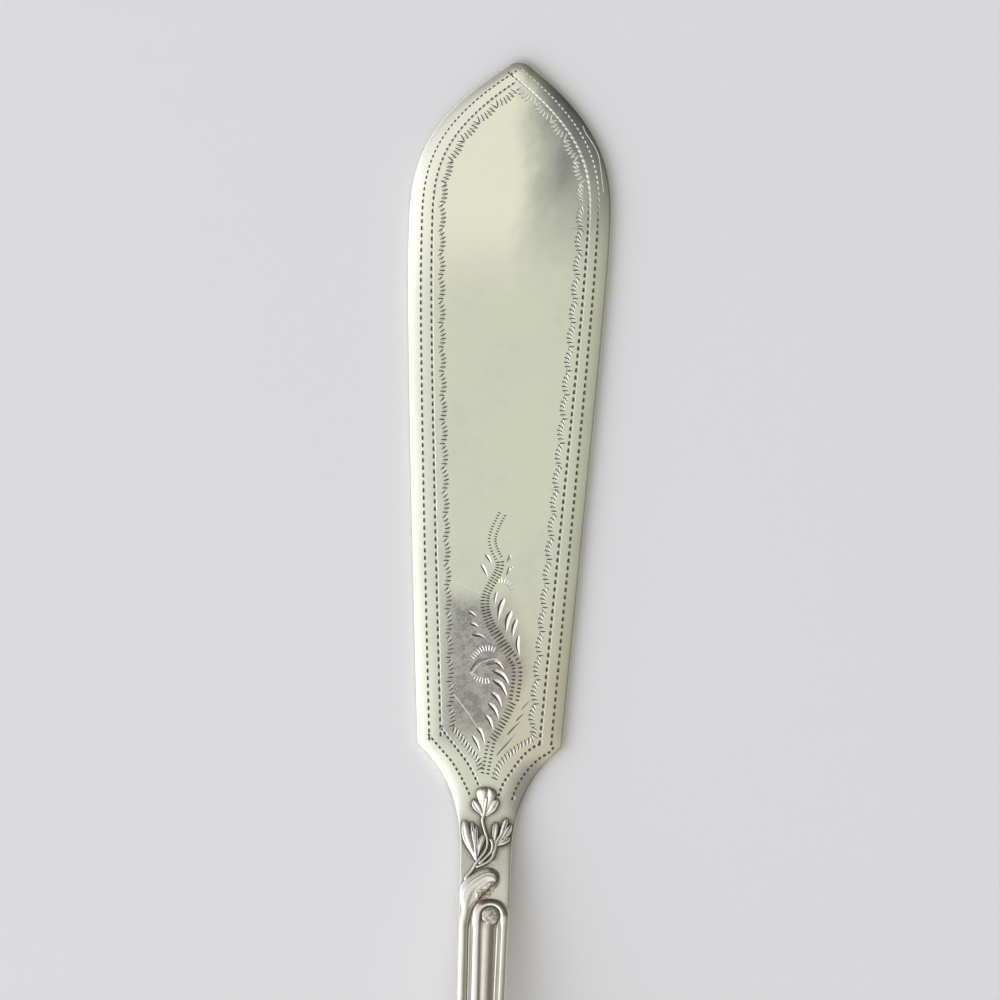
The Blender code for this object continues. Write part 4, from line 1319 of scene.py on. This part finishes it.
# The rib's colours are darker than the threads' as painted shade, where it lies low between the ridges.
RIB_SHADED_CREAM = (0.62, 0.59, 0.47, 1)
RIB_SHADED_GREY = (0.52, 0.49, 0.39, 1)
RIB_RECESS = 0.5
rib_start = LOOP_HEAD.y + bead_radius * RIB_BELOW_BEAD
rib_path = []
rib_half_width = END_WIDTH
for step in range(RIB_STEPS + 1):
    distance = mix(rib_start, RIB_END, step / RIB_STEPS)
    right_x = half_width_at(right_strand, distance)
    left_x = -half_width_at(mirrored(left_strand), distance)
    rib_path.append(Vector(((right_x + left_x) / 2, distance)))
    if distance > LOOP_HEAD.y + LOOP_HEAD_BLEND:
        rib_half_width = min(rib_half_width, (right_x - left_x - LOOP_WIDTH) / 2 - RIB_GAP)
rib_length = path_length(rib_path)


def rib_profile(run):
    """A sharp crest between hollow sides, lower and narrower towards the rib's end."""
    share = mix(THIN_END, 1.0, smooth((rib_length - run) / RIB_TAPER))
    crown = []
    for side in range(RIB_SIDES + 1):
        offset = 1 - 2 * side / RIB_SIDES
        height = RIB_HEIGHT * share * (1 - abs(offset) ** RIB_CREST)
        crown.append((rib_half_width * share * offset, height))
    return with_foot(crown)


rib = sweep("centre_rib", rib_path, RIB_PITCH, rib_profile)
rib.data.materials.append(ornament_silver("rib_silver", RIB_SHADED_CREAM, RIB_SHADED_GREY, RIB_RECESS))
shade(rib, THREAD_ANGLE)
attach(rib, "root")
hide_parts("panel_rib")

# Leaves: three leaves of folded petals, each with its stem, chased up in relief and soldered over the
# joint between blade and handle. Tarnish and painted shade lie in the creases between the petals.
PETAL_HEIGHT = 0.00043
PETAL_SIDES = 14
PETAL_STEPS = 24
PETAL_ROOT = 0.35
PETAL_LOW = 0.5
PETAL_TIP = 0.16
PETAL_FULLNESS = (2.6, 0.6)
PETAL_FOLD = (0.34, 0.035)
STEM_WIDTH = 0.00042
STEM_HEIGHT = 0.00032
STEM_PITCH = 0.00012
VEIN_HEIGHT = 0.00046
VEIN_RUN = 0.0022
LEAF_VOXEL = 0.036
LEAF_SMOOTHING = 2
LEAF_MELT = 0.5
LEAF_FLOW = 10
# Every leaf: its stems, then its petals from base to tip with the width, the fullest place and the
# fold. Places are across from the axis and past the seam.
LEAVES = {
    "top_leaf": ("shield_leaf", [
        [(-0.00005, -0.0070), (-0.00016, -0.0062), (-0.00032, -0.0050), (-0.00048, -0.0043),
         (-0.00022, -0.0033), (0.00011, -0.00235), (0.00015, -0.00166), (-0.00010, -0.00095),
         (-0.00063, -0.0002),
         (-0.00103, 0.0004), (-0.00142, 0.0011), (-0.00195, 0.00175), (-0.00222, 0.0023)],
    ], [
        ([(-0.00031, -0.0049), (-0.00020, -0.0064), (-0.00009, -0.00797)], 0.0023, 0.76, -0.12),
        ([(-0.00046, -0.0048), (-0.00096, -0.0056), (-0.00161, -0.0065)], 0.00102, 0.6, 0.3),
        ([(-0.00013, -0.0048), (0.00043, -0.0055), (0.00112, -0.0067)], 0.00102, 0.6, -0.3),
    ]),
    "left_leaf": ("left_lobed_leaf", [
        [(-0.00155, -0.0034), (-0.00125, -0.0020), (-0.00102, -0.0004), (-0.0010, 0.00015)],
    ], [
        ([(-0.00103, -0.0001), (-0.00196, -0.0022), (-0.00246, -0.0043)], 0.00115, 0.58, 0.5),
        ([(-0.00099, -0.0004), (-0.00126, -0.0022), (-0.00168, -0.0042)], 0.00066, 0.6, 0.0),
        ([(-0.00095, -0.0014), (-0.00107, -0.0028), (-0.00114, -0.0038)], 0.00052, 0.6, 0.0),
        ([(-0.00090, -0.0002), (-0.00068, -0.0016), (-0.00021, -0.0029)], 0.00085, 0.65, 0.35),
    ]),
    "right_leaf": ("right_lobed_leaf", [
        [(0.0020, -0.0042), (0.00162, -0.0030), (0.00115, -0.0020), (0.00105, -0.0014),
         (0.00094, -0.0010),
         (0.00074, -0.0004), (0.00021, 0.00014), (-0.00047, 0.0005), (-0.00115, 0.0008)],
        [(0.00033, -0.0025), (0.00068, -0.0019), (0.00064, -0.0011), (0.00018, -0.0005),
         (-0.00046, 0.00014),
         (-0.00085, 0.0004)],
    ], [
        ([(0.00112, -0.0018), (0.00170, -0.0030), (0.00220, -0.0047)], 0.00078, 0.6, -0.3),
        ([(0.00088, -0.0018), (0.00094, -0.0029), (0.00107, -0.0042)], 0.00085, 0.65, 0.3),
        ([(0.00126, -0.0018), (0.00215, -0.0029), (0.00268, -0.0040)], 0.00078, 0.6, 0.0),
        ([(0.00113, -0.0016), (0.00190, -0.0021), (0.00262, -0.0025)], 0.00075, 0.6, 0.0),
    ]),
}


def at_neck(points):
    return flowing([(across, SEAM + past) for across, past in points], LEAF_FLOW)


def petal(points, width, fullest, fold):
    """One petal: narrow at the base, fullest towards the tip, folded along its length."""
    path = at_neck(points)
    total = path_length(path)
    fullness, power = PETAL_FULLNESS
    depth, spread = PETAL_FOLD

    def petal_profile(run):
        grown = smooth(run / (total * fullest))
        swell = mix(PETAL_ROOT, 1.0, grown) * round_end(total - run, total * (1 - fullest))
        rise = mix(PETAL_LOW, 1.0, grown) * round_end(total - run, total * PETAL_TIP)
        crown = []
        for side in range(PETAL_SIDES + 1):
            offset = 1 - 2 * side / PETAL_SIDES
            dome = (1 - abs(offset) ** fullness) ** power
            dip = 1 - depth * math.exp(-((offset + fold) ** 2) / spread)
            crown.append((width / 2 * swell * offset, PETAL_HEIGHT * rise * dome * dip))
        return with_foot(crown)

    return sweep("petal", path, total / PETAL_STEPS, petal_profile)


def leaf_stem(points):
    """A half-round stem, higher where it is the vein of a petal, with rounded ends."""
    path = at_neck(points)
    total = path_length(path)

    def stem_profile(run):
        rounding = round_end(total - run, STEM_WIDTH) * round_end(run, STEM_WIDTH)
        height = mix(VEIN_HEIGHT, STEM_HEIGHT, smooth(run / VEIN_RUN))
        return half_round(STEM_WIDTH / 2 * rounding, height * rounding)

    return sweep("stem", path, STEM_PITCH, stem_profile)


leaf_silver = ornament_silver("leaf_silver", THREAD_CREAM, THREAD_GREY, RECESS_SHARE)
for node, (name, stems, petals) in LEAVES.items():
    parts = [petal(*shape) for shape in petals] + [leaf_stem(points) for points in stems]
    leaf = parts[0]
    pick(*parts)
    bpy.ops.object.join()
    leaf.name = name
    leaf.data.transform(Matrix.Scale(MILLI, 4))
    leaf.data.remesh_voxel_size = LEAF_VOXEL
    bpy.ops.object.voxel_remesh()
    melt = leaf.modifiers.new("melt", "SMOOTH")
    melt.factor = LEAF_MELT
    melt.iterations = LEAF_SMOOTHING
    bpy.ops.object.modifier_apply(modifier=melt.name)
    leaf.data.transform(Matrix.Scale(1 / MILLI, 4))
    leaf.data.materials.append(leaf_silver)
    bpy.ops.object.shade_smooth()
    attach(leaf, "root")
    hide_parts(node)

# Floor, light and camera: a plain pale floor, a soft window light from the lower left and a camera
# straight above the blade.
FLOOR_SIZE = 4.0
FLOOR_DROP = 0.00005
FLOOR_COLOUR = (0.90, 0.89, 0.845, 1)
FLOOR_ROUGHNESS = 0.8
VIEW_CENTRE = (0.0002, 0.0441)
VIEW_WIDTH = 0.1091
VIEW_HEIGHT = 0.90
VIEW_ROLL = math.radians(2.03)
SENSOR = 36.0
NEAREST_SEEN = 0.01
LAMP_PLACE = (-0.45, -0.10, 0.50)
LAMP_TARGET = Vector((0, 0.04, 0))
LAMP_SIZE = (0.6, 0.5)
LAMP_POWER = 0.8
# Strength of the sky above, its change to the left and ahead, where it falls off to the right and by
# how much, the same far ahead, with a share of the way to a side, and where the window keeps it bright
SKY_ABOVE = 0.78
SKY_LEFT = -0.62
SKY_RIGHT = (0.15, 0.75, 0.55)
SKY_AHEAD = -0.20
SKY_FAR = (0.45, 0.72, 0.72, 0.8)
SKY_WINDOW = (0.45, 0.70)
SKY_RANGE = (0.20, 1.5)
SKY_SEEN = 0.80
SKY_WARM = (1.0, 0.99, 0.97, 1)
SKY_COOL = (0.97, 0.98, 1.16, 1)
SKY_COOL_RUN = 0.32

bpy.ops.object.select_all(action="DESELECT")
bpy.ops.mesh.primitive_plane_add(size=FLOOR_SIZE)
floor = bpy.context.object
floor.name = "floor"
floor.data.transform(Matrix.Translation((0, 0, -FLOOR_DROP)))
floor_material, floor_shader = new_material("pale_floor", 0.0, FLOOR_ROUGHNESS)
floor_shader.inputs["Base Color"].default_value = FLOOR_COLOUR
floor.data.materials.append(floor_material)

world = bpy.data.worlds.new("studio")
bpy.context.scene.world = world
world.use_nodes = True
background = world.node_tree.nodes["Background"]
sky = Tone(world.node_tree)
across, along = axes(sky.node("ShaderNodeTexCoord"))
seen = sky.node("ShaderNodeLightPath")
leftwards = 0.0 - across
brightness = SKY_ABOVE + across.math("MINIMUM", across, 0.0) * SKY_LEFT + along * SKY_AHEAD
brightness = brightness - ramp(across, SKY_RIGHT[0], SKY_RIGHT[1]) * SKY_RIGHT[2]
to_side = across.math("MAXIMUM", across, leftwards) * SKY_FAR[3]
far = ramp(along + to_side, SKY_FAR[0], SKY_FAR[1]) * (1.0 - ramp(leftwards, *SKY_WINDOW))
brightness = brightness - far * SKY_FAR[2]
brightness = sky.node(
    "ShaderNodeClamp", None, {"Value": brightness, "Min": SKY_RANGE[0], "Max": SKY_RANGE[1]}
)
link(brightness * (1.0 - seen) + seen * SKY_SEEN, background.inputs["Strength"])
sky_colour = tint(SKY_WARM, SKY_COOL, ramp(leftwards, 0.0, SKY_COOL_RUN) * (1.0 - seen))
link(sky_colour, background.inputs["Color"])

bpy.ops.object.light_add(type="AREA", location=LAMP_PLACE)
lamp = bpy.context.object
lamp.data.shape = "RECTANGLE"
lamp.data.size, lamp.data.size_y = LAMP_SIZE
lamp.data.energy = LAMP_POWER
lamp.rotation_euler = (LAMP_TARGET - lamp.location).to_track_quat("-Z", "Y").to_euler()

view_place = (*VIEW_CENTRE, VIEW_HEIGHT + BLADE_THICK)
bpy.ops.object.camera_add(location=view_place, rotation=(0, 0, VIEW_ROLL))
camera = bpy.context.object
camera.data.sensor_width = SENSOR
camera.data.lens = SENSOR * VIEW_HEIGHT / VIEW_WIDTH
camera.data.clip_start = NEAREST_SEEN
bpy.context.scene.camera = camera
bpy.context.scene.view_settings.view_transform = "Standard"
